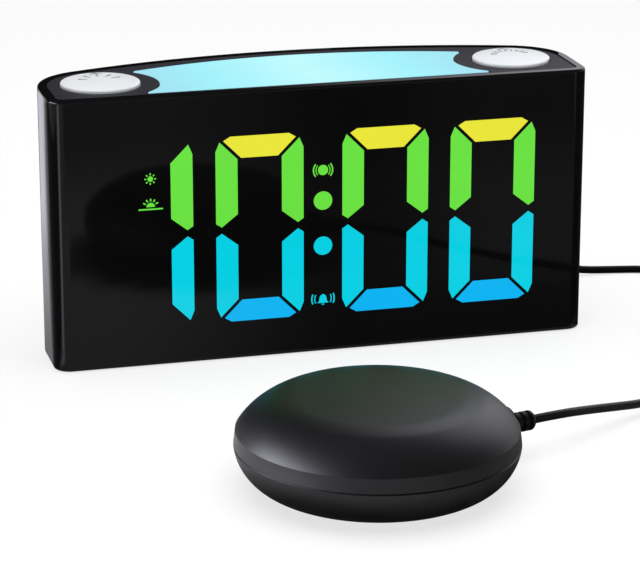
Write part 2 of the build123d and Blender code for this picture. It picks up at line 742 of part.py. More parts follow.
# Main board with its chip and the sockets that reach into the bay
main_board = push(Pos(MAIN_X, MAIN_Z) * Rectangle(MAIN_W, MAIN_H), MAIN_Y - BOARD_T, MAIN_Y)
for x, z in main_post_places:
    main_board -= push(Pos(x, z) * Circle((SCREW_D + SCREW_ROOM) / 2), MAIN_Y - BOARD_T, MAIN_Y)
nodes["main_board"] = [main_board]
nodes["main_chip"] = [
    Pos(MAIN_X, MAIN_Y - BOARD_T - CHIP_T / 2, MAIN_Z) * Box(CHIP_SIDE, CHIP_T, CHIP_SIDE)
]
nodes["board_screws"] = [
    Pos(x, MAIN_Y - BOARD_T, z) * Rot(90, 0, 0) * screw(SCREW_L + BOARD_T - SCREW_ROOM)
    for x, z in main_post_places
]
socket_end = MAIN_Y + SOCKET_L
dc_jack = push(Pos(DC_X, BAY_Z) * Rectangle(DC_W, DC_H), MAIN_Y, socket_end)
dc_bore = Pos(DC_X, BAY_Z) * (Circle(DC_BORE_D / 2) - Circle(DC_PIN_D / 2))
dc_jack -= push(dc_bore, socket_end - DC_BORE_L, socket_end)
nodes["dc_jack"] = [dc_jack]


def usb_socket(x):
    """A folded metal shell round a back block and a contact tongue."""
    middle = Pos(x, usb_z)
    inside = Rectangle(USB_W - 2 * USB_WALL, USB_H - 2 * USB_WALL)
    socket = push(middle * Rectangle(USB_W, USB_H), MAIN_Y, socket_end)
    socket -= push(middle * inside, MAIN_Y + USB_BACK_L, socket_end)
    tongue = middle * Pos(0, USB_TONGUE_RISE) * Rectangle(USB_TONGUE_W, USB_TONGUE_T)
    return socket + push(tongue, MAIN_Y + USB_BACK_L / 2, socket_end - USB_BACK_L / 2)


nodes["usb_socket_left"] = [usb_socket(USB_X[0])]
nodes["usb_socket_right"] = [usb_socket(USB_X[1])]
jack = Pos(JACK_X, BAY_Z)
socket = push(jack * Rectangle(JACK_W, JACK_W), MAIN_Y, BAY_Y - COVER_T)
socket += push(jack * Circle(JACK_BUSH_D / 2), MAIN_Y, BAY_Y)
socket -= push(jack * Circle(JACK_PIN_D / 2 + JACK_FIT), BAY_Y - JACK_PIN_L - JACK_FIT, BAY_Y)
nodes["shaker_socket"] = [socket]


# Setting buttons: a cap through the cover, a flange behind it and a stem to the switch on the board
def set_button(z):
    place = Pos(SET_X, z)
    cap_end = bow(SET_X - SET_D / 2) + SET_PROUD
    stem_end = MAIN_Y + SWITCH_H + PLUNGER_H + SET_TRAVEL + KEY_SPARE
    cap = push(place * Circle(SET_D / 2), set_flange_y, cap_end)
    cap = fillet(cap.edges().group_by(Axis.Y)[-1], SET_PROUD / 2)
    cap += push(place * Circle(SET_D / 2 + SET_FLANGE), set_flange_y - SET_FLANGE_T, set_flange_y)
    return cap + push(place * Circle(STEM_D / 2), stem_end, set_flange_y - SET_FLANGE_T)


nodes["time_set_button"] = [set_button(SET_Z[0])]
nodes["alarm_set_button"] = [set_button(SET_Z[1])]
nodes["rear_key_switches"] = [
    Pos(SET_X, MAIN_Y, z) * Rot(-90, 0, 0) * key_switch for z in SET_Z
]

# Mode switch: a sliding plate behind the cover, its thumb tab in the slot, its lever at the body
mode = Pos(MODE_X, MODE_Z)
mode_body_end = MAIN_Y + MODE_BODY_L
mode_plate = Rectangle(MODE_PLATE_W, MODE_TAB_H + 4 * MODE_THROW)
slider = push(mode * mode_plate, mode_plate_y - MODE_PLATE_T, mode_plate_y)
tab_end = bow(MODE_X - MODE_TAB_W / 2) + MODE_PROUD
slider += push(mode * Rectangle(MODE_TAB_W, MODE_TAB_H), mode_plate_y - MODE_PLATE_T, tab_end)
slider += push(mode * Rectangle(MODE_TAB_W, MODE_TAB_W), mode_body_end + SLIDE_GAP, mode_plate_y)
nodes["mode_slider"] = [slider]
nodes["mode_switch_body"] = [push(mode * Rectangle(MODE_BODY_W, MODE_BODY_H), MAIN_Y, mode_body_end)]

# Dimmer: a notched thumb wheel on the upright pin of its control, which sits on the cover's shelf
wheel_place = Pos(WHEEL_X, wheel_y)
wheel = Circle(WHEEL_R) - Circle(PIVOT_D / 2 + PIVOT_FIT)
wheel -= PolarLocations(WHEEL_R, WHEEL_NOTCHES) * Circle(NOTCH_R)
nodes["dimmer_wheel"] = [rise(wheel_place * wheel, wheel_z0, wheel_z0 + WHEEL_T)]
control_base = Pos(0, -POT_W / 8) * Rectangle(POT_W, 3 * POT_W / 4)
control = rise(wheel_place * control_base, pot_z, pot_z + POT_H)
control += rise(wheel_place * Circle(PIVOT_D / 2), pot_z, wheel_z0 + WHEEL_T)
nodes["dimmer_control"] = [control]


# Loudspeaker: a pressed basket with its magnet, and a paper cone, turned about the sound axis
def turned_back(points):
    face = make_face(Polyline(*points, close=True))
    return Pos(SPEAKER_X, SPEAKER_Y, SPEAKER_Z) * revolve(face, Axis.Y)


rim_r = SPEAKER_D / 2
cone_r = SPEAKER_CONE_D / 2
back_r = SPEAKER_BACK_D / 2
coil_r = SPEAKER_COIL_D / 2
flange_back = -SPEAKER_FLANGE_T
basket_back = flange_back - SPEAKER_DEPTH
magnet_back = basket_back - MAGNET_T
nodes["speaker_basket"] = [turned_back([
    (cone_r, 0), (rim_r, 0), (rim_r, flange_back), (cone_r, flange_back), (back_r, basket_back),
    (MAGNET_D / 2, basket_back), (MAGNET_D / 2, magnet_back), (0, magnet_back),
    (0, basket_back), (back_r - SPEAKER_FLANGE_T, basket_back + SPEAKER_FLANGE_T),
])]
hollow = basket_back + 2 * SPEAKER_FLANGE_T
seam_r = (rim_r - SPEAKER_RING_T + cone_r) / 2
nodes["speaker_cone"] = [turned_back([
    (seam_r, 0), (seam_r, CONE_T), (cone_r - 2 * CONE_T, CONE_T), (coil_r, hollow + CONE_T),
    (0, hollow + 3 * CONE_T), (0, hollow + 2 * CONE_T), (coil_r, hollow), (cone_r - CONE_T, 0),
])]

# Back-up battery: a drawer with a round well for the cell, in a sleeve behind the rear cover
tray = push(tray_window(0), TRAY_Y0, REACH) & drum(0)
cell_place = Pos(TRAY_X, CELL_Y)
tray -= cell_place * rise(Circle(CELL_D / 2 + CELL_GAP), TRAY_Z + TRAY_FLOOR, TRAY_Z + TRAY_H)
grip_y = bow(TRAY_X)
tray -= Pos(TRAY_X, grip_y, TRAY_Z) * Sphere(TRAY_GRIP_R / 2)
nodes["battery_tray"] = [tray]
cell_z = TRAY_Z + TRAY_FLOOR
nodes["coin_cell"] = [cell_place * rise(Circle(CELL_D / 2), cell_z, cell_z + CELL_T)]
holder = push(tray_window(TRAY_GAP + HOLDER_WALL), TRAY_Y0 - HOLDER_END, REACH) & drum(COVER_T)
holder -= push(tray_window(TRAY_GAP), TRAY_Y0 - TRAY_GAP - CONTACT_T, REACH)
nodes["battery_holder"] = [holder]
contact_y = TRAY_Y0 - TRAY_GAP - CONTACT_T
nodes["battery_contact"] = [
    block(
        TRAY_X - CONTACT_W / 2, TRAY_X + CONTACT_W / 2, contact_y, contact_y + CONTACT_T,
        TRAY_Z - TRAY_GAP, TRAY_Z + TRAY_H,
    )
]

clock_nodes = set(nodes)


# Shaker puck: the outside profile from base to top, and the same profile one wall further in
def puck_profile():
    with BuildSketch() as whole:
        with BuildLine():
            Line((-BASE_R, BASE_Z), (BASE_R, BASE_Z))
            for side in (1, -1):
                SagittaArc((side * BASE_R, BASE_Z), (side * PUCK_R, SEAM_Z), -side * BOWL_RISE)
                Line((side * PUCK_R, SEAM_Z), (side * CREASE_R, CREASE_Z))
                SagittaArc((side * CREASE_R, CREASE_Z), (side * DISC_R, DISC_Z), -side * DOME_RISE)
            ThreePointArc((-DISC_R, DISC_Z), (0, PUCK_H), (DISC_R, DISC_Z))
        make_face()
    return whole.sketch


def spin(face):
    half = Pos(PUCK_R, PUCK_H / 2) * Rectangle(2 * PUCK_R, 2 * PUCK_H)
    return revolve(Plane.XZ * (face & half), Axis.Z)


def ring_solid(r0, r1, z0, z1):
    return rise(Circle(r1) - Circle(r0), z0, z1)


profile = puck_profile()
puck_solid = spin(profile)
puck_room = spin(offset(profile, -PUCK_WALL))
puck_skin = puck_solid - puck_room
seam_notch = make_face(Polyline(
    (PUCK_R - SEAM_CUT, SEAM_Z), (PUCK_R + SEAM_CUT, SEAM_Z + 2 * SEAM_CUT),
    (PUCK_R + SEAM_CUT, SEAM_Z - 2 * SEAM_CUT), close=True,
))
puck_skin -= revolve(Plane.XZ * seam_notch, Axis.Z)
below_seam = rise(Circle(2 * PUCK_R), 0, SEAM_Z)
above_seam = rise(Circle(2 * PUCK_R), SEAM_Z, 2 * PUCK_H)

boss_places = list(PolarLocations(PUCK_BOSS_RING, PUCK_SCREWS, start_angle=90))


def at_bosses(outline, z0, z1):
    return Part() + [place * rise(outline, z0, z1) for place in boss_places]


top_bosses = at_bosses(Circle(PUCK_BOSS_D / 2), SEAM_Z, PUCK_H)
low_bosses = at_bosses(Circle(PUCK_BOSS_D / 2), BASE_Z, SEAM_Z)
pilot_top = PUCK_SCREW_Z + PUCK_SCREW_L + SCREW_ROOM
pilot_holes = at_bosses(Circle(SCREW_D / 2 + SCREW_FIT), SEAM_Z, pilot_top)
shank_holes = at_bosses(Circle((SCREW_D + SCREW_ROOM) / 2), PUCK_SCREW_Z, SEAM_Z)
head_holes = at_bosses(Circle(SCREW_HEAD_D / 2 + HEAD_ROOM), 0, PUCK_SCREW_Z)

# Strain relief: a rubber sleeve held in a notch at the seam, with a collar and grooves round its nose
relief_axis = Pos(0, 0, RELIEF_Z) * Rot(0, 0, RELIEF_ANGLE) * Rot(0, 90, 0)


def along_relief(diameter, u0, u1):
    return relief_axis * rise(Circle(diameter / 2), u0, u1)


flange_end = RELIEF_SEAT + RELIEF_FLANGE_T
relief = rise(Circle(RELIEF_D / 2), flange_end, RELIEF_TIP)
relief = fillet(relief.edges().group_by(Axis.Z)[-1], RELIEF_NOSE_R)
for distance in RELIEF_RINGS:
    groove_start = flange_end + distance
    relief -= ring_solid(
        RELIEF_D / 2 - RELIEF_RING_T, RELIEF_D, groove_start, groove_start + RELIEF_RING_W
    )
relief += rise(Circle(RELIEF_FLANGE_D / 2), RELIEF_SEAT, flange_end)
relief += rise(Circle(RELIEF_D / 2), RELIEF_INNER_AT, RELIEF_SEAT)
relief += rise(Circle(RELIEF_INNER_D / 2), RELIEF_INNER_AT, RELIEF_INNER_AT + RELIEF_INNER_T)
relief_room = along_relief(RELIEF_FLANGE_D + 2 * RELIEF_GAP, RELIEF_SEAT, RELIEF_TIP)
relief_room += along_relief(RELIEF_D + 2 * RELIEF_GAP, RELIEF_INNER_AT, RELIEF_TIP)
relief_room += along_relief(
    RELIEF_INNER_D + 2 * RELIEF_GAP,
    RELIEF_INNER_AT - RELIEF_INNER_T,
    RELIEF_INNER_AT + RELIEF_INNER_T + RELIEF_GAP,
)

nodes["shaker_top_shell"] = [
    (puck_skin & above_seam) + (puck_solid & top_bosses) - pilot_holes - relief_room
]

# Bottom shell: the bowl with its tongue, screw bosses, motor cradle and clamp posts
motor_front = MOTOR_BACK + MOTOR_L
clamp_x = MOTOR_BACK + MOTOR_L / 2
clamp_base = MOTOR_Z - CLAMP_T
clamp_inner = MOTOR_D / 2 + CRADLE_GAP
clamp_outer = clamp_inner + CLAMP_T
post_y = clamp_outer + CLAMP_TAB / 2
tongue_r = PUCK_R - PUCK_WALL - TONGUE_IN
bottom = puck_skin & below_seam
bottom += ring_solid(tongue_r - TONGUE_T, tongue_r, SEAM_Z - TONGUE_H, SEAM_Z + TONGUE_H)
bottom += ring_solid(tongue_r - TONGUE_T, PUCK_R - PUCK_WALL / 2, SEAM_Z - TONGUE_H, SEAM_Z)
inside = puck_solid & low_bosses
for x in (MOTOR_BACK + CRADLE_IN, motor_front - CRADLE_IN - CRADLE_T):
    inside += block(x, x + CRADLE_T, -CRADLE_W / 2, CRADLE_W / 2, BASE_Z + PUCK_WALL / 2, MOTOR_Z)
for side in (-1, 1):
    inside += block(
        clamp_x - CLAMP_W / 2, clamp_x + CLAMP_W / 2,
        side * post_y - CLAMP_POST_W / 2, side * post_y + CLAMP_POST_W / 2,
        BASE_Z + PUCK_WALL / 2, clamp_base,
    )
motor_room = Pos(clamp_x, 0, MOTOR_Z) * Rot(0, 90, 0) * Cylinder(clamp_inner, 2 * MOTOR_L)
bottom += inside - motor_room
for side in (-1, 1):
    bottom -= Pos(clamp_x, side * post_y) * rise(
        Circle(SCREW_D / 2 + SCREW_FIT), clamp_base - SCREW_L, clamp_base
    )
pad_top = BASE_Z + PAD_SINK
bottom -= rise(Circle(PAD_R), 0, pad_top)
bottom = bottom - shank_holes - head_holes - relief_room
nodes["shaker_bottom_shell"] = [bottom]
nodes["shaker_pad"] = [rise(Circle(PAD_R), 0, pad_top)]
nodes["shaker_screws"] = [
    place * Pos(0, 0, PUCK_SCREW_Z) * Rot(180, 0, 0) * screw(PUCK_SCREW_L) for place in boss_places
]
nodes["lead_strain_relief"] = [relief_axis * relief]


# Motor: a round can with a front bush, a shaft that runs in it, and a half-round weight on the shaft
def along_motor(outline, x0, x1):
    return Pos(0, 0, MOTOR_Z) * slide(outline, x0, x1)


bush_end = motor_front + BUSH_L
shaft_end = bush_end + SHAFT_OUT
motor = along_motor(Circle(MOTOR_D / 2), MOTOR_BACK, motor_front)
motor = fillet(motor.edges(), BUSH_L / 2)
motor += along_motor(Circle(BUSH_D / 2), motor_front, bush_end)
motor -= along_motor(Circle(SHAFT_D / 2 + SHAFT_FIT), motor_front - SHAFT_IN, bush_end)
nodes["shaker_motor"] = [motor]
nodes["motor_shaft"] = [along_motor(Circle(SHAFT_D / 2), motor_front - SHAFT_IN + SHAFT_FIT, shaft_end)]
weight_start = bush_end + WEIGHT_GAP
half_disc = Circle(WEIGHT_R) & (Pos(0, -WEIGHT_R) * Rectangle(2 * WEIGHT_R, 2 * WEIGHT_R))
weight_outline = half_disc + Circle(WEIGHT_HUB_R) - Circle(SHAFT_D / 2)
nodes["eccentric_weight"] = [along_motor(weight_outline, weight_start, weight_start + WEIGHT_T)]

# Clamp: a bent strap over the motor, screwed to two posts of the bottom shell
tab_end_y = clamp_outer + CLAMP_TAB
strap = Circle(clamp_outer) & (Pos(0, clamp_outer) * Rectangle(2 * clamp_outer, 2 * clamp_outer))
strap += Pos(0, -CLAMP_T / 2) * Rectangle(2 * tab_end_y, CLAMP_T)
strap -= Circle(clamp_inner)
clamp = along_motor(strap, clamp_x - CLAMP_W / 2, clamp_x + CLAMP_W / 2)
for side in (-1, 1):
    clamp -= Pos(clamp_x, side * post_y) * rise(Circle((SCREW_D + SCREW_ROOM) / 2), clamp_base, MOTOR_Z)
nodes["motor_clamp"] = [clamp]
nodes["clamp_screws"] = [
    Pos(clamp_x, side * post_y, MOTOR_Z) * screw(SCREW_L) for side in (-1, 1)
]

shaker_nodes = set(nodes) - clock_nodes


# Coil: four layers that spiral in and out by turns, each climb in the half turn where they reverse
def coil_point(turn):
    left = turn
    radius = COIL_OUT_R
    z = COIL_Z
    way = -1
    for layer, span in enumerate(LAYER_TURNS):
        last = layer == LAYERS - 1
        step = left if last else min(left, span)
        radius += way * COIL_PITCH * step
        left -= step
        if last or left <= 0:
            break
        share = min(left, TURN_BACK) / TURN_BACK
        radius += way * COIL_PITCH * TURN_BACK * (share - share**2)
        z += COIL_PITCH * (3 * share**2 - 2 * share**3)
        left -= share * TURN_BACK
        way = -way
    angle = math.radians(COIL_START + 360 * turn)
    return Vector(COIL_X + radius * math.cos(angle), COIL_Y + radius * math.sin(angle), z)


def coil_heading(turn):
    step = 1e-4
    return (coil_point(turn + step) - coil_point(turn - step)).normalized()


def coil_stations():
    """Turn counts about a quarter turn apart, with one at each end of every layer and climb."""
    stations = [0.0]
    for layer, span in enumerate(LAYER_TURNS):
        stretches = (span,) if layer == LAYERS - 1 else (span, TURN_BACK)
        for stretch in stretches:
            count = round(4 * stretch)
            start = stations[-1]
            stations += [start + stretch * (i + 1) / count for i in range(count)]
    return stations


def tangent_arc(start, corner_point, end):
    """The arc from start to end whose end tangents meet at corner_point."""
    middle = (start + end) / 2
    up = corner_point - middle
    half = (end - start).length / 2
    bend = math.atan2(up.length, half)
    return ThreePointArc(start, middle + up.normalized() * half * math.tan(bend / 2), end)


def biarc(p0, t0, p1, t1):
    """Two arcs from p0 along t0 to p1 along t1."""
    v = p1 - p0
    t = t0 + t1
    spare = 2 * (1 - t0.dot(t1))
    reach = (math.sqrt(v.dot(t) ** 2 + spare * v.dot(v)) - v.dot(t)) / spare
    a = p0 + t0 * reach
    b = p1 - t1 * reach
    joint = (a + b) / 2
    return [tangent_arc(p0, a, joint), tangent_arc(joint, b, p1)]


def cord_solid(path):
    """The lead along a path, as a tube of flat sides."""
    start = Plane(origin=path @ 0, x_dir=(0, 0, 1), z_dir=path % 0)
    return sweep(start * RegularPolygon(CORD_D / 2, CORD_SIDES), path=path)


stations = coil_stations()
coil_first = coil_point(0) - coil_heading(0) * CORD_D
coil_last = coil_point(stations[-1]) + coil_heading(stations[-1]) * CORD_D
coil_edges = [Line(coil_first, coil_point(0))]
for a, b in zip(stations, stations[1:]):
    coil_edges += biarc(coil_point(a), coil_heading(a), coil_point(b), coil_heading(b))
coil_edges.append(Line(coil_point(stations[-1]), coil_last))
coil_path = Wire(coil_edges)
nodes["cord_coil"] = [cord_solid(coil_path)]

# Least gap between turns of the coil, on points about 2 mm apart
samples = [coil_point(stations[-1] * i / 720) for i in range(721)]
spread = 12
coil_gap = min(
    (samples[i] - samples[j]).length
    for i in range(len(samples))
    for j in range(i + spread, len(samples))
) - CORD_D
print("coil turns", round(stations[-1], 3), "length", round(coil_path.length), "least gap", round(coil_gap, 3))

# Tie: a flat band round the coil's turns, standing on the table
tie_in = COIL_IN_R - COIL_PITCH / 8 - CORD_D / 2 - TIE_ROOM
tie_out = COIL_OUT_R + COIL_PITCH / 8 + CORD_D / 2 + TIE_ROOM
tie_w = tie_out - tie_in
tie_h = (LAYERS - 1) * COIL_PITCH + CORD_D + 2 * TIE_ROOM
band = RectangleRounded(tie_w + 2 * TIE_T, tie_h + 2 * TIE_T, TIE_CORNER_R)
band -= RectangleRounded(tie_w, tie_h, TIE_CORNER_R - TIE_T)
tie = push(Pos((tie_in + tie_out) / 2, TIE_T + tie_h / 2) * band, -TIE_W / 2, TIE_W / 2)
nodes["coil_tie"] = [Pos(COIL_X, COIL_Y) * Rot(0, 0, TIE_ANGLE) * tie]

# Lead from the strain relief to the coil, and from the coil to the plug, by hand-picked points
relief_heading = Vector(1, 0, 0).rotate(Axis.Z, RELIEF_ANGLE)
relief_end = Vector(SHAKER_X, SHAKER_Y, RELIEF_Z) + relief_heading * RELIEF_TIP
plug_point = Vector(JACK_X + PLUG_END, CLOCK_Y + BAY_Y + PLUG_OUT, BAY_Z)
shaker_route = [
    relief_end,
    relief_end + relief_heading * RELIEF_RUN,
    Vector(61.4, -47.3, 9.2),
    Vector(75.0, -39.5, 6.4),
    Vector(87.0, -33.3, 4.2),
    Vector(102.0, -23.6, 2.4),
    Vector(117.5, -11.4, 1.7),
    Vector(132.0, 0.8, 2.1),
    coil_first - coil_heading(0) * COIL_RUN,
    coil_first,
]
clock_route = [
    coil_last,
    coil_last + coil_heading(stations[-1]) * COIL_EXIT_RUN,
    Vector(168.2, 67.0, 10.6),
    Vector(168.5, 83.0, 5.4),
    Vector(167.0, 98.0, 2.2),
    Vector(161.0, 111.5, 1.5),
    Vector(148.5, 120.5, 1.5),
    Vector(133.0, 123.2, 1.6),
    Vector(118.5, 123.4, 2.6),
    Vector(104.5, 122.6, 8.6),
    Vector(91.4, 120.6, 18.2),
    plug_point + Vector(PLUG_RUN, 0, 0),
    plug_point,
]


def cord_radii(points):
    """The largest arcs that the runs beside each corner leave room for."""
    radii = []
    for before, at, after in zip(points, points[1:], points[2:]):
        turn = math.radians((at - before).get_angle(after - at))
        shorter = min((at - before).length, (after - at).length)
        radii.append(0.45 * shorter / math.tan(turn / 2))
    return radii


for name, route in (("shaker_lead", shaker_route), ("clock_lead", clock_route)):
    radii = cord_radii(route)
    path = FilletPolyline(*route, radius=radii)
    nodes[name] = [cord_solid(path)]
    section = RegularPolygon(CORD_D / 2, CORD_SIDES).area
    print(name, "length", round(path.length), "radii", [round(r) for r in radii])
    print(name, "volume to section times length", round(nodes[name][0].volume / section / path.length, 4))

# Plug: a metal pin in the socket, and a moulded right-angled body whose tail tapers to the lead
pin = push(jack * Circle(JACK_PIN_D / 2), BAY_Y - JACK_PIN_L, BAY_Y)
nodes["plug_pin"] = [Pos(0, CLOCK_Y) * pin]
plug_y = BAY_Y + PLUG_OUT
head_start = JACK_X - PLUG_HEAD_BACK
head_end = JACK_X + PLUG_HEAD_L


def along_x(outline, x0, x1):
    return Pos(0, plug_y, BAY_Z) * slide(outline, x0, x1)


plug = along_x(Circle(PLUG_HEAD_D / 2), head_start, head_end)
plug = fillet(plug.edges(), PLUG_EDGE_R)
plug += push(jack * Circle(PLUG_SHANK_D / 2), BAY_Y, plug_y)
tail = loft([
    Plane.YZ.offset(head_end - PLUG_EDGE_R) * Circle(PLUG_NECK_D / 2),
    Plane.YZ.offset(JACK_X + PLUG_END) * Circle(PLUG_TAIL_D / 2),
])
plug += Pos(0, plug_y, BAY_Z) * tail
nodes["jack_plug"] = [Pos(0, CLOCK_Y) * plug]

# One file for each piece, or each group of like pieces
os.makedirs("parts", exist_ok=True)
for name, solids in nodes.items():
    place = Pos(0, CLOCK_Y) if name in clock_nodes else Pos(0, 0)
    if name in shaker_nodes:
        place = Pos(SHAKER_X, SHAKER_Y)
    pieces = [solid for shape in solids for solid in (place * shape).solids()]
    export_step(Compound(children=pieces, label=name), f"parts/{name}.step")
print(len(nodes), "nodes")
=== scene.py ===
# The clock and its bed shaker as packed: every piece below is dressed around these solids.
# Lengths are metres, the table top is z = 0, and the clock's front faces -Y.
import json
import math

import bmesh
import bpy
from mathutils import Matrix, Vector

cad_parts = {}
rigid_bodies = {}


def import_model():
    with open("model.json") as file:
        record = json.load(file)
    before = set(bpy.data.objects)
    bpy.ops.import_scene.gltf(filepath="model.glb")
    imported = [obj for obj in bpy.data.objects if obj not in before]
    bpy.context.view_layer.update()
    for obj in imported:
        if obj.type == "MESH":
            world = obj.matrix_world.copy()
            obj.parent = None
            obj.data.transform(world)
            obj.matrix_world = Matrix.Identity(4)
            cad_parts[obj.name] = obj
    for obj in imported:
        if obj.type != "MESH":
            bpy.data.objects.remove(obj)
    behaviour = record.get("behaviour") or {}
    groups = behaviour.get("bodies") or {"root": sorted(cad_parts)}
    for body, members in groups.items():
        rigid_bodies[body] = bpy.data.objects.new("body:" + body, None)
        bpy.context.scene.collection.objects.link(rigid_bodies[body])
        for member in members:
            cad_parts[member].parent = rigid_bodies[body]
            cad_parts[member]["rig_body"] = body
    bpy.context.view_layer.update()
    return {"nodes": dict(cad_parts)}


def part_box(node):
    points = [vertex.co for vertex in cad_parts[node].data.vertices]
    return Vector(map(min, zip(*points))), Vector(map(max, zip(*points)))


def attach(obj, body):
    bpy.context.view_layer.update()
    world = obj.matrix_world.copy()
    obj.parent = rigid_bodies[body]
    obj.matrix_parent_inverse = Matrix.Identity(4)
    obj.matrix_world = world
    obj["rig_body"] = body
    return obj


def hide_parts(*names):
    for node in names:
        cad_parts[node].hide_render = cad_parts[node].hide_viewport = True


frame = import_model()
nodes = frame["nodes"]
MM = 0.001

# Product table: a wide board in matt white paint, on which the clock and the shaker stand.
# The camera and the gloss see it lifted to near white, and its own grey keeps the shadows.
# It reaches so far that no edge comes into view.
scene = bpy.context.scene
scene.view_settings.view_transform = "Standard"
TABLE_REACH = 4.0
TABLE_GREY, TABLE_LIFT = 0.28, 0.735
TABLE_CORNERS = ((-1, -1), (1, -1), (1, 1), (-1, 1))


def place(name, shown):
    """A new object at the origin, for a mesh, a curve, a lamp or a camera."""
    piece = bpy.data.objects.new(name, shown)
    scene.collection.objects.link(piece)
    return piece


def new_finish(name):
    """A new material, and its node tree."""
    finish = bpy.data.materials.new(name)
    finish.use_nodes = True
    return finish, finish.node_tree


def calc(tree, operation, *terms):
    """A Math node on sockets or plain numbers; its result."""
    made = tree.nodes.new("ShaderNodeMath")
    made.operation = operation
    for socket, term in zip(made.inputs, terms):
        if isinstance(term, bpy.types.NodeSocket):
            tree.links.new(term, socket)
        else:
            socket.default_value = term
    return made.outputs[0]


table_mesh = bpy.data.meshes.new("white_table")
table_spots = [(x * TABLE_REACH, y * TABLE_REACH, 0.0) for x, y in TABLE_CORNERS]
table_mesh.from_pydata(table_spots, [], [(0, 1, 2, 3)])
table = place("white_table", table_mesh)
table_paint, tree = new_finish("white_table")
tree.nodes.remove(tree.nodes["Principled BSDF"])
matt = tree.nodes.new("ShaderNodeBsdfDiffuse")
matt.inputs["Color"].default_value = (TABLE_GREY, TABLE_GREY, TABLE_GREY, 1)
path = tree.nodes.new("ShaderNodeLightPath")
shown = calc(tree, "MAXIMUM", path.outputs["Is Camera Ray"], path.outputs["Is Glossy Ray"])
shown = calc(tree, "MAXIMUM", shown, path.outputs["Is Transmission Ray"])
lift = tree.nodes.new("ShaderNodeEmission")
tree.links.new(calc(tree, "MULTIPLY", shown, TABLE_LIFT), lift.inputs["Strength"])
both = tree.nodes.new("ShaderNodeAddShader")
tree.links.new(matt.outputs[0], both.inputs[0])
tree.links.new(lift.outputs[0], both.inputs[1])
tree.links.new(both.outputs[0], tree.nodes["Material Output"].inputs["Surface"])
table_mesh.materials.append(table_paint)

# Studio room: a painted dome, white round the horizon and dark overhead.
# The dark part keeps gloss black black, and the white part fills the low edges.
SKY_WHITE, SKY_DARK = 1.0, 0.04
SKY_WHITE_TO, SKY_DARK_FROM = 0.1, 0.24
sky = bpy.data.worlds.new("white_studio")
scene.world = sky
sky.use_nodes = True
tree = sky.node_tree
backdrop = tree.nodes["Background"]
way = tree.nodes.new("ShaderNodeTexCoord")
parts = tree.nodes.new("ShaderNodeSeparateXYZ")
tree.links.new(way.outputs["Generated"], parts.inputs[0])
fade = tree.nodes.new("ShaderNodeMapRange")
fade.interpolation_type = "SMOOTHSTEP"
tree.links.new(parts.outputs["Z"], fade.inputs["Value"])
fade.inputs["From Min"].default_value = SKY_WHITE_TO
fade.inputs["From Max"].default_value = SKY_DARK_FROM
fade.inputs["To Min"].default_value = SKY_WHITE
fade.inputs["To Max"].default_value = SKY_DARK
backdrop.inputs["Color"].default_value = (1, 1, 1, 1)
tree.links.new(fade.outputs["Result"], backdrop.inputs["Strength"])

# Softboxes: a wide one overhead gives the plain light, and doesn't show in the gloss.
# Two more, at the left and the back right, are cool and only mirrored, and light nothing.
COOL_LIGHT = (0.92, 0.92, 1.0)
TABLE_MIDDLE, SHAKER_SHOULDER = (0, 0, 0), (0, -0.07, 0.03)


def softbox(name, spot, aim, size, watts, mirrored=True, lighting=True):
    """A rectangular lamp at a spot, turned to where it aims."""
    lamp = bpy.data.lights.new(name, "AREA")
    lamp.shape = "RECTANGLE"
    lamp.size, lamp.size_y = size
    lamp.energy = watts
    if not lighting:
        lamp.color = COOL_LIGHT
    stand = place(name, lamp)
    stand.location = spot
    stand.rotation_euler = (Vector(aim) - Vector(spot)).to_track_quat("-Z", "Y").to_euler()
    stand.visible_glossy = mirrored
    stand.visible_diffuse = lighting


softbox(
    "overhead_softbox", spot=(0.0, -0.05, 1.3), aim=TABLE_MIDDLE, size=(1.7, 1.7), watts=25.0, mirrored=False,
)
softbox(
    "left_softbox", spot=(-0.76, 0.0, 0.29), aim=SHAKER_SHOULDER, size=(0.8, 0.4), watts=16.0, lighting=False,
)
softbox(
    "right_back_softbox", spot=(0.73, 0.6, 0.66), aim=SHAKER_SHOULDER, size=(0.9, 0.86), watts=5.0,
    lighting=False,
)
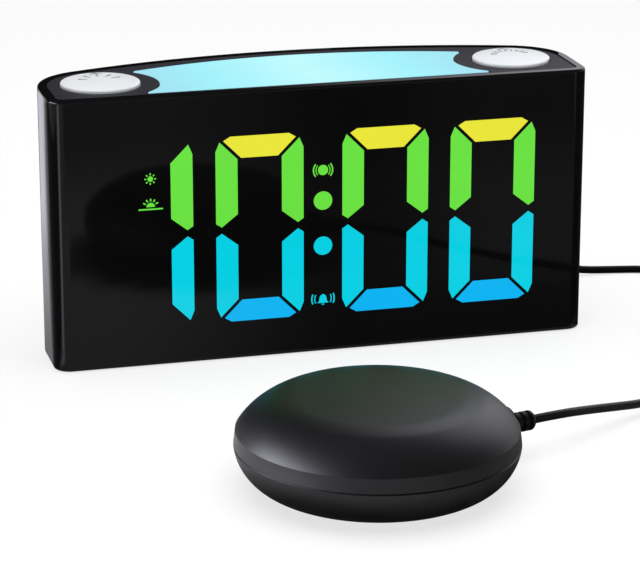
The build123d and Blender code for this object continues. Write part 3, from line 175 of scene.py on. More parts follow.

# Cards and cloths: white board and black cloth, laid on the table or stood behind the clock.
# Only the gloss mirrors them. They draw its bright and dark edges, and cast no light or shadow.
# Some of their dark and dim parts are painted shade of the table round the clock and the shaker.


def card(name, corner, along, across, steps, glow, cover):
    """A card that only reflections see; glow and how far it covers are given over its two sides, 0 to 1."""
    corner, along, across = Vector(corner), Vector(along), Vector(across)
    spots = [(i / steps[0], j / steps[1]) for j in range(steps[1] + 1) for i in range(steps[0] + 1)]
    row = steps[0] + 1
    faces = [
        (j * row + i, j * row + i + 1, (j + 1) * row + i + 1, (j + 1) * row + i)
        for j in range(steps[1]) for i in range(steps[0])
    ]
    mesh = bpy.data.meshes.new(name)
    mesh.from_pydata([corner + along * u + across * v for u, v in spots], [], faces)
    board, tree = new_finish(name)
    tree.nodes.remove(tree.nodes["Principled BSDF"])
    levels = {}
    for label, level in (("glow", glow), ("cover", cover)):
        values = mesh.attributes.new(label, "FLOAT", "POINT")
        for i, (u, v) in enumerate(spots):
            values.data[i].value = level(u, v)
        read = tree.nodes.new("ShaderNodeAttribute")
        read.attribute_name = label
        levels[label] = read.outputs["Fac"]
    lamp = tree.nodes.new("ShaderNodeEmission")
    lamp.inputs["Color"].default_value = (*COOL_LIGHT, 1)
    clear = tree.nodes.new("ShaderNodeBsdfTransparent")
    mixed = tree.nodes.new("ShaderNodeMixShader")
    tree.links.new(levels["glow"], lamp.inputs["Strength"])
    tree.links.new(levels["cover"], mixed.inputs["Fac"])
    tree.links.new(clear.outputs[0], mixed.inputs[1])
    tree.links.new(lamp.outputs[0], mixed.inputs[2])
    tree.links.new(mixed.outputs[0], tree.nodes["Material Output"].inputs["Surface"])
    mesh.materials.append(board)
    piece = place(name, mesh)
    piece.visible_camera = False
    piece.visible_diffuse = False
    piece.visible_transmission = False
    piece.visible_shadow = False


def laid(name, xs, ys, z, steps, glow, cover):
    """A card that lies flat between two places each way."""
    card(name, (xs[0], ys[0], z), (xs[1] - xs[0], 0, 0), (0, ys[1] - ys[0], 0), steps, glow, cover)


def between(ends, share):
    return ends[0] + share * (ends[1] - ends[0])


def soft(value, low, high):
    """0 below low, 1 above high, smooth between them."""
    share = min(max((value - low) / (high - low), 0.0), 1.0)
    return share * share * (3 - 2 * share)


def unlit(u, v):
    return 0.0


def all_over(u, v):
    return 1.0


# Table shade sheet: a dark sheet on the table ahead of the clock, seen only in the gloss of the front and
# under the shaker.
# Between the clock and the shaker and round the shaker's foot, its dark is painted shade of the table in
# their shadow.
# It is densest below the digits' left half, thinner at the right and again dense far ahead.
SHADE_CARD_X, SHADE_CARD_Y, SHADE_CARD_Z = (-0.22, 0.30), (0.056, -0.42), 0.0004
SHADE_CARD_STEPS = (42, 48)
FRONT_LEFT, SLANT = -0.099, 0.266
MIDDLE_DARK, MIDDLE_FADE = 0.86, (0.015, 0.11)
PALE_PART, PALE_FADE, PALE_AHEAD = 0.35, (0.12, 0.18), (0.03, 0.1)
FAR_DARK, FAR_FADE = 0.6, (0.16, 0.33)
UNDER_DARK, UNDER_FADE, UNDER_STRETCH = 0.95, (0.045, 0.061), 1.06
UNDER_X, UNDER_Y = -0.018, -0.072
LEFT_FADE, RIGHT_FADE, NEAR_FADE = 0.16, 0.1, 0.15


def table_shade_cover(u, v):
    x, y = between(SHADE_CARD_X, u), between(SHADE_CARD_Y, v)
    ahead = SHADE_CARD_Y[0] - y
    over = x - SLANT * ahead - FRONT_LEFT
    middle = MIDDLE_DARK * soft(over, *MIDDLE_FADE)
    middle -= PALE_PART * soft(over, *PALE_FADE) * soft(ahead, *PALE_AHEAD)
    far = FAR_DARK * soft(ahead, *FAR_FADE)
    # Painted shade: the table's shadow round the shaker's foot, as the gloss mirrors it.
    from_shaker = math.hypot((x - UNDER_X) / UNDER_STRETCH, y - UNDER_Y)
    under = UNDER_DARK * (1 - soft(from_shaker, *UNDER_FADE))
    edges = soft(u, 0.0, LEFT_FADE) * soft(1 - u, 0.0, RIGHT_FADE) * soft(1 - v, 0.0, NEAR_FADE)
    return edges * (1 - (1 - middle) * (1 - far) * (1 - under))


laid("dark_table_cloth", SHADE_CARD_X, SHADE_CARD_Y, SHADE_CARD_Z, SHADE_CARD_STEPS, unlit, table_shade_cover)

# Cloths at the clock's two sides: black felt on the table, mirrored in its front corners.
# The left one has a narrow strip of light in it, seen from that corner between two bearings in degrees.
SIDE_Z = 0.0007
LEFT_X, LEFT_Y, LEFT_STEPS = (-0.45, -0.099), (-0.26, 0.62), (44, 90)
LEFT_CORNER, LEFT_DARK, LEFT_DARK_FROM, LEFT_END = (-0.093, 0.0655), 0.88, (-37, -27), 0.1
STRIP_GLOW, STRIP_LIT_FROM, STRIP_LIT_TO = 5.0, (-53, -43), (-37, -26)
STRIP_FROM, STRIP_TO = (-55, -48), (-30, -24)
RIGHT_X, RIGHT_Y, RIGHT_STEPS = (0.0995, 0.72), (-0.42, 0.62), (50, 80)
RIGHT_CORNER, RIGHT_DARK, RIGHT_DARK_FROM, RIGHT_REACH = (0.093, 0.0655), 0.95, (-58, -44), (0.46, 0.6)


def left_bearing(u, v):
    x, y = between(LEFT_X, u), between(LEFT_Y, v)
    return math.degrees(math.atan2(y - LEFT_CORNER[1], LEFT_CORNER[0] - x))


def strip_glow(u, v):
    turned = left_bearing(u, v)
    return STRIP_GLOW * (soft(turned, *STRIP_LIT_FROM) - soft(turned, *STRIP_LIT_TO))


def left_cover(u, v):
    turned = left_bearing(u, v)
    dark = LEFT_DARK * soft(turned, *LEFT_DARK_FROM)
    strip = soft(turned, *STRIP_FROM) - soft(turned, *STRIP_TO)
    return max(dark, strip) * soft(u, 0.0, LEFT_END)


def right_cover(u, v):
    x, y = between(RIGHT_X, u) - RIGHT_CORNER[0], between(RIGHT_Y, v) - RIGHT_CORNER[1]
    turned = math.degrees(math.atan2(y, x))
    return RIGHT_DARK * soft(turned, *RIGHT_DARK_FROM) * (1 - soft(math.hypot(x, y), *RIGHT_REACH))


laid("left_corner_cloth", LEFT_X, LEFT_Y, SIDE_Z, LEFT_STEPS, strip_glow, left_cover)
laid("right_corner_cloth", RIGHT_X, RIGHT_Y, SIDE_Z, RIGHT_STEPS, unlit, right_cover)

# Boards and flag: a white board on the table at the left, mirrored in the clock's left side,
# where its glow dims near the clock as painted shade of the table there, a white board behind at the right,
# mirrored in the front of the rim, and a black flag close behind the clock, mirrored in the back of the rim.
BOARD_NEAR, BOARD_MIDDLE, BOARD_FAR = 0.4, 0.54, 0.72
BOARD_MIDDLE_FADE, BOARD_FAR_FADE = (0.0, 0.25), (0.2, 0.42)
BACK_GLOW, BACK_FADE = 1.2, (0.79, 0.94)


# Painted shade: the board glows less close to the clock, for the table's shadow beside it.
def board_glow_and_shade(u, v):
    return BOARD_NEAR + BOARD_MIDDLE * soft(v, *BOARD_MIDDLE_FADE) + BOARD_FAR * soft(v, *BOARD_FAR_FADE)


def back_glow(u, v):
    return BACK_GLOW * soft(u, *BACK_FADE)


card(
    "left_table_board", corner=(-0.09925, 0.067, 0.001), along=(0.014, 0, 0), across=(-0.0893, 0.55, 0),
    steps=(1, 22), glow=board_glow_and_shade, cover=all_over,
)
card(
    "rim_flag", corner=(0.03, 0.165, 0.088), along=(0.095, 0, 0), across=(0, 0, 0.033), steps=(1, 1),
    glow=unlit, cover=all_over,
)
card(
    "right_back_card", corner=(-1.2, 0.95, 0.1), along=(1.75, 0, 0), across=(0, 0, 0.9), steps=(70, 2),
    glow=back_glow, cover=all_over,
)

# Camera: a long lens ahead of the clock, to its left and above it, looking slightly down.
# Its place, turn and tilt are the photograph's, whose frame is 640 by 578.
CAMERA_AT = (-257.15, -898.125, 339.1)
CAMERA_LENS, CAMERA_SENSOR = 161.44, 36.0
CAMERA_TILT, CAMERA_TURN = 17.63, 14.91
camera_data = bpy.data.cameras.new("photograph_camera")
camera_data.lens = CAMERA_LENS
camera_data.sensor_width = CAMERA_SENSOR
camera_data.sensor_fit = "HORIZONTAL"
camera = place("photograph_camera", camera_data)
camera.location = [c * MM for c in CAMERA_AT]
camera.rotation_euler = (math.radians(90 - CAMERA_TILT), 0, -math.radians(CAMERA_TURN))
scene.camera = camera

# Cabinet: front, sides, floor and rim in one moulding of smoked black plastic, polished to a gloss.
# The digits show through its front; the top plate and the rear cover close it.
ROOT = "clock_and_shaker"
CASE_BLACK = (0.0056, 0.0056, 0.0062)
COOL_GLOSS = (0.94, 0.94, 1.0)
SHARP_EDGE = math.radians(32)
MERGE = 2e-6
CLOUD_SCALE, CLOUD_DETAIL = 35.0, 3.0


def shade_group(name, inputs, outputs):
    """An empty shader group with named sockets."""
    group = bpy.data.node_groups.new(name, "ShaderNodeTree")
    for label, kind, value in inputs:
        group.interface.new_socket(label, in_out="INPUT", socket_type=kind).default_value = value
    for label, kind in outputs:
        group.interface.new_socket(label, in_out="OUTPUT", socket_type=kind)
    return group, group.nodes.new("NodeGroupInput"), group.nodes.new("NodeGroupOutput")


def noise(tree, scale, detail=2.0):
    """Noise on the piece's own coordinates, from 0 to 1."""
    coords = tree.nodes.new("ShaderNodeTexCoord")
    made = tree.nodes.new("ShaderNodeTexNoise")
    made.inputs["Detail"].default_value = detail
    tree.links.new(coords.outputs["Object"], made.inputs["Vector"])
    if isinstance(scale, bpy.types.NodeSocket):
        tree.links.new(scale, made.inputs["Scale"])
    else:
        made.inputs["Scale"].default_value = scale
    return made.outputs["Fac"]


def scaled(tree, colour, level):
    """A colour made lighter or darker by a level."""
    made = tree.nodes.new("ShaderNodeVectorMath")
    made.operation = "SCALE"
    tree.links.new(colour, made.inputs[0])
    tree.links.new(level, made.inputs["Scale"])
    return made.outputs["Vector"]


skin, given, result = shade_group(
    "moulded_skin",
    [
        ("Colour", "NodeSocketColor", (0.5, 0.5, 0.5, 1)), ("Tone", "NodeSocketFloat", 0.1),
        ("Grain", "NodeSocketFloat", 2500.0), ("Roughness", "NodeSocketFloat", 0.4),
        ("Spread", "NodeSocketFloat", 0.05),
    ],
    [("Colour", "NodeSocketColor"), ("Roughness", "NodeSocketFloat"), ("Height", "NodeSocketFloat")],
)
cloud = calc(skin, "SUBTRACT", noise(skin, CLOUD_SCALE, CLOUD_DETAIL), 0.5)
grain = noise(skin, given.outputs["Grain"])
level = calc(skin, "MULTIPLY_ADD", cloud, calc(skin, "MULTIPLY", given.outputs["Tone"], 2.0), 1.0)
uneven = calc(skin, "ADD", cloud, calc(skin, "SUBTRACT", grain, 0.5))
skin.links.new(scaled(skin, given.outputs["Colour"], level), result.inputs["Colour"])
skin.links.new(
    calc(skin, "MULTIPLY_ADD", uneven, given.outputs["Spread"], given.outputs["Roughness"]),
    result.inputs["Roughness"],
)
skin.links.new(grain, result.inputs["Height"])


def moulded(
    name, colour, roughness, tone=0.1, grain=2500.0, spread=0.05, depth=0.01, specular=0.5, metal=0.0,
    tint=(1, 1, 1),
):
    """A finish with cloudy tone, uneven gloss and fine grain; depth is the grain's height in millimetres."""
    finish, tree = new_finish(name)
    surface = tree.nodes["Principled BSDF"]
    group = tree.nodes.new("ShaderNodeGroup")
    group.node_tree = skin
    group.inputs["Colour"].default_value = (*colour, 1)
    group.inputs["Tone"].default_value = tone
    group.inputs["Grain"].default_value = grain
    group.inputs["Roughness"].default_value = roughness
    group.inputs["Spread"].default_value = spread
    bump = tree.nodes.new("ShaderNodeBump")
    bump.inputs["Distance"].default_value = depth * MM
    tree.links.new(group.outputs["Colour"], surface.inputs["Base Color"])
    tree.links.new(group.outputs["Roughness"], surface.inputs["Roughness"])
    tree.links.new(group.outputs["Height"], bump.inputs["Height"])
    tree.links.new(bump.outputs["Normal"], surface.inputs["Normal"])
    surface.inputs["Specular IOR Level"].default_value = specular
    surface.inputs["Specular Tint"].default_value = (*tint, 1)
    surface.inputs["Metallic"].default_value = metal
    return finish


def settle(piece):
    """The piece's modifiers made into a plain mesh."""
    shaped = bpy.data.meshes.new_from_object(piece.evaluated_get(bpy.context.evaluated_depsgraph_get()))
    piece.modifiers.clear()
    piece.data = shaped


def smooth_but_sharp(shape):
    """Smooth faces that stay sharp at hard edges."""
    for face in shape.faces:
        face.smooth = True
    for edge in shape.edges:
        edge.smooth = len(edge.link_faces) == 2 and edge.calc_face_angle(0.0) < SHARP_EDGE


def dress(node, piece_name, finish, regions=()):
    """A merged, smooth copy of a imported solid, on the same body, that stands for it."""
    shape = bmesh.new()
    shape.from_mesh(nodes[node].data)
    for layer in list(shape.loops.layers.float_vector):
        shape.loops.layers.float_vector.remove(layer)
    bmesh.ops.remove_doubles(shape, verts=shape.verts[:], dist=MERGE)
    for face in shape.faces:
        middle = face.calc_center_median() / MM
        face.material_index = next((i + 1 for i, (test, _) in enumerate(regions) if test(middle)), 0)
    smooth_but_sharp(shape)
    mesh = bpy.data.meshes.new(piece_name)
    shape.to_mesh(mesh)
    shape.free()
    for material in (finish, *(other for _, other in regions)):
        mesh.materials.append(material)
    piece = place(piece_name, mesh)
    even = piece.modifiers.new("even_normals", "WEIGHTED_NORMAL")
    even.keep_sharp = True
    settle(piece)
    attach(piece, nodes[node]["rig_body"])
    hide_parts(node)
    return piece


smoked_gloss = moulded(
    "smoked_gloss", CASE_BLACK, roughness=0.05, tone=0.15, grain=700.0, spread=0.02, depth=0.0, specular=0.14,
    tint=COOL_GLOSS,
)
dress("cabinet", "cabinet_moulding", smoked_gloss)

# Rubber feet: four soft black discs pressed into round pockets under the floor.
# They stand a little proud, so that the clock doesn't slide.
RUBBER_BLACK = (0.012, 0.012, 0.012)
soft_rubber = moulded(
    "soft_rubber", RUBBER_BLACK, roughness=0.75, tone=0.25, grain=1400.0, depth=0.05, specular=0.3
)
dress("rubber_feet", "table_feet", soft_rubber)

# Display bars: thin tinted inlays flush with the front, each lit from its own cell behind.
# The colour runs from yellow at the top through green and cyan to blue at the base.
PATCH_SCALE, SPECK_SCALE, LIT_DETAIL = 60.0, 1800.0, 1.0
UNLIT_SHARE = 0.02


def seen(red, green, blue):
    """A colour as a screen shows it, made linear."""
    return tuple(
        (c / 255 / 12.92) if c <= 10 else ((c / 255 + 0.055) / 1.055) ** 2.4 for c in (red, green, blue)
    )


lit, given, result = shade_group(
    "lit_face",
    [
        ("Colour", "NodeSocketColor", (1, 1, 1, 1)), ("Patches", "NodeSocketFloat", 0.06),
        ("Specks", "NodeSocketFloat", 0.05),
    ],
    [("Colour", "NodeSocketColor")],
)
patches = calc(lit, "SUBTRACT", noise(lit, PATCH_SCALE, LIT_DETAIL), 0.5)
specks = calc(lit, "SUBTRACT", noise(lit, SPECK_SCALE, LIT_DETAIL), 0.5)
level = calc(lit, "MULTIPLY_ADD", patches, given.outputs["Patches"], 1.0)
level = calc(lit, "MULTIPLY_ADD", specks, given.outputs["Specks"], level)
lit.links.new(scaled(lit, given.outputs["Colour"], level), result.inputs["Colour"])


def lit_plastic(name, colour, roughness=0.06, specular=0.14):
    """A smoked face with a lamp behind it."""
    finish, tree = new_finish(name)
    surface = tree.nodes["Principled BSDF"]
    group = tree.nodes.new("ShaderNodeGroup")
    group.node_tree = lit
    group.name = "lit_face"
    group.inputs["Colour"].default_value = (*colour, 1)
    tree.links.new(group.outputs["Colour"], surface.inputs["Emission Color"])
    surface.inputs["Emission Strength"].default_value = 1.0
    surface.inputs["Base Color"].default_value = (*(c * UNLIT_SHARE for c in colour), 1)
    surface.inputs["Roughness"].default_value = roughness
    surface.inputs["Specular IOR Level"].default_value = specular
    return finish


def paint(finish, *names):
    """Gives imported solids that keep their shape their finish."""
    for name in names:
        nodes[name].data.materials.clear()
        nodes[name].data.materials.append(finish)


lit_yellow = lit_plastic("lit_yellow", seen(233, 229, 58))
lit_green = lit_plastic("lit_green", seen(106, 224, 66))
lit_cyan = lit_plastic("lit_cyan", seen(8, 206, 226))
lit_blue = lit_plastic("lit_blue", seen(12, 178, 240))
paint(lit_yellow, "display_top_bars")
paint(lit_green, "display_upper_bars")
paint(lit_cyan, "display_lower_bars")
paint(lit_blue, "display_base_bars")
paint(smoked_gloss, "display_dark_bars")

# Small lit signs on the front: a shaking disc, a sun, a sunrise and a bell, sizes in millimetres.
# They are thin windows in the same tinted plastic as the bars, let into the front and lit from behind.
FRONT_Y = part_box("display_top_bars")[0].y / MM
SIGN_PROUD, SIGN_DEEP = 0.06, 0.3
SIGN_X, SHAKING_Z, BELL_Z = -1.05, 68.75, 20.4
SUN_X, SUN_Z, SUNRISE_Z = -64.05, 69.85, 59.6
SHAKING_R, SUN_R, SUNRISE_R = 1.9, 1.0, 1.55
SHAKING_ARCS = ((2.45, 2.8, 42), (3.3, 3.8, 40))
BELL_ARCS = ((2.9, 3.3, 30), (3.95, 4.45, 26))
SUN_RAY, SUNRISE_RAY = (1.4, 2.1, 0.45), (2.05, 3.1, 0.5)
HORIZON = ((-4.4, -1.1), (4.4, -1.1), (4.4, -0.55), (-4.4, -0.55))
BELL_SIDE = ((1.95, -1.55), (1.95, -1.25), (1.45, -0.8), (1.35, 0.2), (1.1, 1.0), (0.6, 1.5), (0.25, 1.7))
CLAPPER_R, CLAPPER_DROP = 0.5, 1.85


def disc(x, z, radius, start=0.0, end=360.0, steps=40):
    angles = [math.radians(start + (end - start) * i / steps) for i in range(steps + (end - start < 360))]
    return [(x + radius * math.cos(a), z + radius * math.sin(a)) for a in angles]


def band(x, z, inner, outer, start, end, steps=14):
    return disc(x, z, outer, start, end, steps) + disc(x, z, inner, start, end, steps)[::-1]


def arcs(x, z, rows):
    """Arcs at both sides of a sign: inner and outer radius, and half the angle, of each."""
    return [
        band(x, z, inner, outer, turn - half, turn + half) for turn in (0, 180) for inner, outer, half in rows
    ]


def ray(x, z, near, far, width, angle):
    along = Vector((math.cos(math.radians(angle)), math.sin(math.radians(angle))))
    across = Vector((-along.y, along.x)) * width / 2
    middle = Vector((x, z))
    corners = (along * near - across, along * far - across, along * far + across, along * near + across)
    return [tuple(middle + corner) for corner in corners]


def plate(shape, outline, through):
    """Adds a thin plate to a mesh: its outline, and the step from that face to its other one."""
    near = [shape.verts.new(spot) for spot in outline]
    far = [shape.verts.new(vert.co + Vector(through)) for vert in near]
    shape.faces.new(near)
    shape.faces.new(far[::-1])
    for i in range(len(near)):
        shape.faces.new((near[i - 1], far[i - 1], far[i], near[i]))


def fitted(name, shape, finish, body):
    """The plates of a mesh as one piece on its body."""
    bmesh.ops.recalc_face_normals(shape, faces=shape.faces[:])
    mesh = bpy.data.meshes.new(name)
    shape.to_mesh(mesh)
    shape.free()
    mesh.materials.append(finish)
    piece = place(name, mesh)
    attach(piece, body)


def sign(name, outlines, finish):
    """Flat outlines in x and z, as thin windows in the front."""
    shape = bmesh.new()
    for outline in outlines:
        ring = [(x * MM, (FRONT_Y - SIGN_PROUD) * MM, z * MM) for x, z in outline]
        plate(shape, ring, (0, (SIGN_PROUD + SIGN_DEEP) * MM, 0))
    fitted(name, shape, finish, ROOT)


shaking = [disc(SIGN_X, SHAKING_Z, SHAKING_R)] + arcs(SIGN_X, SHAKING_Z, SHAKING_ARCS)
sun = [disc(SUN_X, SUN_Z, SUN_R)] + [ray(SUN_X, SUN_Z, *SUN_RAY, 45 * i) for i in range(8)]
sunrise = [disc(SUN_X, SUNRISE_Z, SUNRISE_R, 0, 180)]
sunrise += [ray(SUN_X, SUNRISE_Z, *SUNRISE_RAY, 30 * i) for i in range(1, 6)]
sunrise.append([(SUN_X + x, SUNRISE_Z + z) for x, z in HORIZON])
bell_side = [(x, BELL_Z + z) for x, z in BELL_SIDE]
bell = [[(SIGN_X + x, z) for x, z in bell_side] + [(SIGN_X - x, z) for x, z in reversed(bell_side)]]
bell.append(disc(SIGN_X, BELL_Z - CLAPPER_DROP, CLAPPER_R, 180, 360, 16))
bell += arcs(SIGN_X, BELL_Z, BELL_ARCS)
sign("green_signs", shaking + sun + sunrise, lit_green)
sign("cyan_signs", bell, lit_cyan)

# Display module: a white reflector with a cell behind each bar, and a board with a lamp in each cell.
# The board is screwed to four bosses behind the front. The top and main boards have the same green mask.
REFLECTOR_WHITE, MASK_GREEN, RESIN_CREAM = (0.78, 0.78, 0.75), (0.008, 0.075, 0.025), (0.8, 0.78, 0.62)
matt_white = moulded("matt_white", REFLECTOR_WHITE, roughness=0.55, tone=0.05, grain=1500.0)
solder_mask = moulded(
    "solder_mask", MASK_GREEN, roughness=0.35, tone=0.5, grain=450.0, spread=0.15, depth=0.03
)
lamp_resin = moulded("lamp_resin", RESIN_CREAM, roughness=0.25, tone=0.1)
paint(matt_white, "digit_reflector")
paint(solder_mask, "display_board", "top_board", "main_board")
paint(lamp_resin, "segment_lights", "night_light_lamps")

# Top plate: a satin dark grey lid let into the rim, with holes for the two keys and the night light.
# It is moulded with a fine spark-eroded grain, and clips into the cabinet.
LID_GREY = seen(44, 43, 48)
satin_grey = moulded(
    "satin_grey", LID_GREY, roughness=0.5, tone=0.06, grain=2600.0, spread=0.06, depth=0.012, specular=0.06
)
dress("top_plate", "top_lid", satin_grey)

# Hour and minute buttons: domed caps of glossy off-white plastic, each with a raised arrow and ticks.
# The marks are the caps' own white, coloured grey as painted shade round the raised strokes.
# A flange under the lid holds them, and a stem reaches the key switch below.
CAP_WHITE, MARK_SHADE_GREY = seen(230, 232, 236), seen(150, 152, 157)
CAP_R, CAP_DOME = 14.3 * MM, 0.9 * MM
MARK_H = 0.24 * MM
TICK_R, TICK_SPREAD = 6.2 * MM, math.radians(150)
HOUR_TICKS, HOUR_TICK_L, HOUR_TICK_W = 5, 3.2 * MM, 0.75 * MM
MINUTE_TICKS, MINUTE_TICK_L, MINUTE_TICK_W = 9, 2.4 * MM, 0.55 * MM
ARROW = ((0, 11.9), (2.3, 9.3), (1.6, 8.7), (0, 10.5), (-1.6, 8.7), (-2.3, 9.3))
ARROW_R, ARROW_PROUD = 10.3 * MM, 0.12 * MM
cap_white = moulded(
    "cap_white", CAP_WHITE, roughness=0.3, tone=0.01, grain=300.0, spread=0.02, depth=0.0004, specular=0.07
)
# Painted shade: the marks' grey stands for the shadows round them, and their own colour is the caps' white.
mark_grey = moulded(
    "mark_grey", MARK_SHADE_GREY, roughness=0.45, tone=0.03, grain=900.0, spread=0.04, depth=0.001, specular=0.2
)
dress("hour_button", "hour_cap", cap_white)
dress("minute_button", "minute_cap", cap_white)


def add(tree, kind, **settings):
    """A geometry node with its inputs set by name: a socket is linked, a plain value is filled in."""
    made = tree.nodes.new(kind)
    for label, value in settings.items():
        label = label.replace("_", " ")
        if isinstance(value, bpy.types.NodeSocket):
            tree.links.new(value, made.inputs[label])
        else:
            made.inputs[label].default_value = value
    return made


def shape_tree(name, inputs):
    """An empty geometry tree with named inputs."""
    tree = bpy.data.node_groups.new(name, "GeometryNodeTree")
    tree.interface.new_socket("Geometry", in_out="OUTPUT", socket_type="NodeSocketGeometry")
    for label, kind in inputs:
        tree.interface.new_socket(label, in_out="INPUT", socket_type=kind)
    return tree, tree.nodes.new("NodeGroupInput").outputs, tree.nodes.new("NodeGroupOutput").inputs


def grown(name, mesh, tree, body, slot, **values):
    """A piece that a geometry tree makes, turned into a plain mesh on its body."""
    piece = place(name, mesh)
    maker = piece.modifiers.new("maker", "NODES")
    maker.node_group = tree
    for item in tree.interface.items_tree:
        label = item.name.replace(" ", "_")
        if item.in_out == "INPUT" and label in values:
            maker[item.identifier] = values[label]
    settle(piece)
    shape = bmesh.new()
    shape.from_mesh(piece.data)
    bmesh.ops.remove_doubles(shape, verts=shape.verts[:], dist=MERGE)
    smooth_but_sharp(shape)
    shape.to_mesh(piece.data)
    shape.free()
    piece.data.name = name
    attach(piece, body)
    return piece


tick_tree, given, made = shape_tree("raised_ticks", [
    ("Middle", "NodeSocketVector"), ("Count", "NodeSocketInt"), ("Radius", "NodeSocketFloat"),
    ("Spread", "NodeSocketFloat"), ("Length", "NodeSocketFloat"), ("Width", "NodeSocketFloat"),
    ("Height", "NodeSocketFloat"), ("Finish", "NodeSocketMaterial"),
])
order = tick_tree.nodes.new("GeometryNodeInputIndex").outputs[0]
share = calc(tick_tree, "DIVIDE", order, calc(tick_tree, "SUBTRACT", given["Count"], 1.0))
from_middle = calc(tick_tree, "SUBTRACT", 0.5, share)
angle = calc(tick_tree, "MULTIPLY_ADD", from_middle, given["Spread"], math.pi / 2)
spot = add(
    tick_tree, "ShaderNodeCombineXYZ",
    X=calc(tick_tree, "MULTIPLY", calc(tick_tree, "COSINE", angle), given["Radius"]),
    Y=calc(tick_tree, "MULTIPLY", calc(tick_tree, "SINE", angle), given["Radius"]),
)
seat = tick_tree.nodes.new("ShaderNodeVectorMath")
tick_tree.links.new(spot.outputs[0], seat.inputs[0])
tick_tree.links.new(given["Middle"], seat.inputs[1])
points = add(tick_tree, "GeometryNodePoints", Count=given["Count"], Position=seat.outputs[0])
size = add(tick_tree, "ShaderNodeCombineXYZ", X=given["Length"], Y=given["Width"], Z=given["Height"])
tick = add(tick_tree, "GeometryNodeMeshCube", Size=size.outputs[0])
turn = add(tick_tree, "ShaderNodeCombineXYZ", Z=angle)
ticks = add(
    tick_tree, "GeometryNodeInstanceOnPoints", Points=points.outputs[0], Instance=tick.outputs["Mesh"],
    Rotation=turn.outputs[0],
)
plain = add(tick_tree, "GeometryNodeRealizeInstances", Geometry=ticks.outputs[0])
coated = add(tick_tree, "GeometryNodeSetMaterial", Geometry=plain.outputs[0], Material=given["Finish"])
tick_tree.links.new(coated.outputs[0], made["Geometry"])


def cap_marks(node, body, count, length, width):
    """Ticks round the middle of a cap, and an arrow behind them."""
    low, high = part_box(node)
    middle = (low + high) / 2
    level = high.z - CAP_DOME * (TICK_R / CAP_R) ** 2
    grown(
        node + "_ticks", bpy.data.meshes.new(node + "_ticks"), tick_tree, body, "trim_grey",
        Middle=(middle.x, middle.y, level), Count=count, Radius=TICK_R, Spread=TICK_SPREAD, Length=length,
        Width=width, Height=MARK_H, Finish=mark_grey,
    )
    top = high.z - CAP_DOME * (ARROW_R / CAP_R) ** 2 + ARROW_PROUD
    shape = bmesh.new()
    plate(shape, [(middle.x + x * MM, middle.y + y * MM, top) for x, y in ARROW], (0, 0, -MARK_H))
    fitted(node + "_arrow", shape, mark_grey, body)


cap_marks("hour_button", "hour_key", HOUR_TICKS, HOUR_TICK_L, HOUR_TICK_W)
cap_marks("minute_button", "minute_key", MINUTE_TICKS, MINUTE_TICK_L, MINUTE_TICK_W)

# Night-light bar: a hollow bar of frosted plastic over eight lamps, pressed as the snooze key.
# Light from below fills it with an even ice blue, a little deeper towards its ends.
LENS_MIDDLE, LENS_QUARTER, LENS_END = seen(190, 247, 252), seen(160, 238, 248), seen(160, 214, 234)
LENS_HALF = 0.072
frosted_light = lit_plastic("frosted_light", LENS_MIDDLE, roughness=0.55, specular=0.06)
tree = frosted_light.node_tree
spot = tree.nodes.new("ShaderNodeTexCoord")
parts = tree.nodes.new("ShaderNodeSeparateXYZ")
tree.links.new(spot.outputs["Object"], parts.inputs[0])
from_middle = calc(tree, "DIVIDE", calc(tree, "ABSOLUTE", parts.outputs["X"]), LENS_HALF)
grade = tree.nodes.new("ShaderNodeValToRGB")
grade.color_ramp.elements[0].color = (*LENS_MIDDLE, 1)
grade.color_ramp.elements[1].color = (*LENS_END, 1)
grade.color_ramp.elements.new(0.5).color = (*LENS_QUARTER, 1)
tree.links.new(from_middle, grade.inputs["Fac"])
tree.links.new(grade.outputs["Color"], tree.nodes["lit_face"].inputs["Colour"])
dress("night_light_bar", "night_light_key", frosted_light)

# Switches, chip and controls: black moulded cases soldered to the top board and the main board.
# Each key switch has a short plunger below a key's stem.
PART_BLACK = (0.02, 0.02, 0.022)
moulded_black = moulded("moulded_black", PART_BLACK, roughness=0.45, tone=0.2, grain=1800.0)
paint(moulded_black, "top_key_switches", "rear_key_switches", "main_chip")
paint(moulded_black, "mode_switch_body", "dimmer_control")

# Rear cover: a bowed sheet of fine-grained black plastic with the socket bay and loudspeaker slots.
# Four screws hold it to bosses in the cabinet.
COVER_BLACK = (0.011, 0.011, 0.0125)
grained_black = moulded(
    "grained_black", COVER_BLACK, roughness=0.5, tone=0.12, grain=2200.0, spread=0.08, depth=0.03,
    specular=0.35,
)
dress("rear_cover", "rear_lid", grained_black)

# Screws: plated steel, with a low domed head, a cross slot and a coarse thread for plastic.
# They hold the cover, the two boards, the motor's clamp and the shaker's shells.
STEEL_GREY = (0.56, 0.56, 0.58)
HEAD_D, HEAD_H, SHANK_D, PITCH = 5.0 * MM, 1.6 * MM, 2.6 * MM, 0.9 * MM
COVER_SCREW_L, DISPLAY_SCREW_L, BOARD_SCREW_L = 7.0 * MM, 7.3 * MM, 8.3 * MM
HEAD_SIDES, HEAD_RINGS, CORE_SIDES, TURN_STEPS = 28, 4, 14, 14
HEAD_FALL, HEAD_CURVE = 0.5, 3.0
SLOT_L, SLOT_W = 0.58, 0.15
CORE_SHARE, RIDGE_SHARE, RIDGE_THICK, RIDGE_RUN, RIDGE_LOW = 0.42, 0.44, 0.16, 0.96, 0.98
plated_steel = moulded(
    "plated_steel", STEEL_GREY, roughness=0.32, tone=0.08, grain=1200.0, spread=0.12, depth=0.004, metal=1.0
)
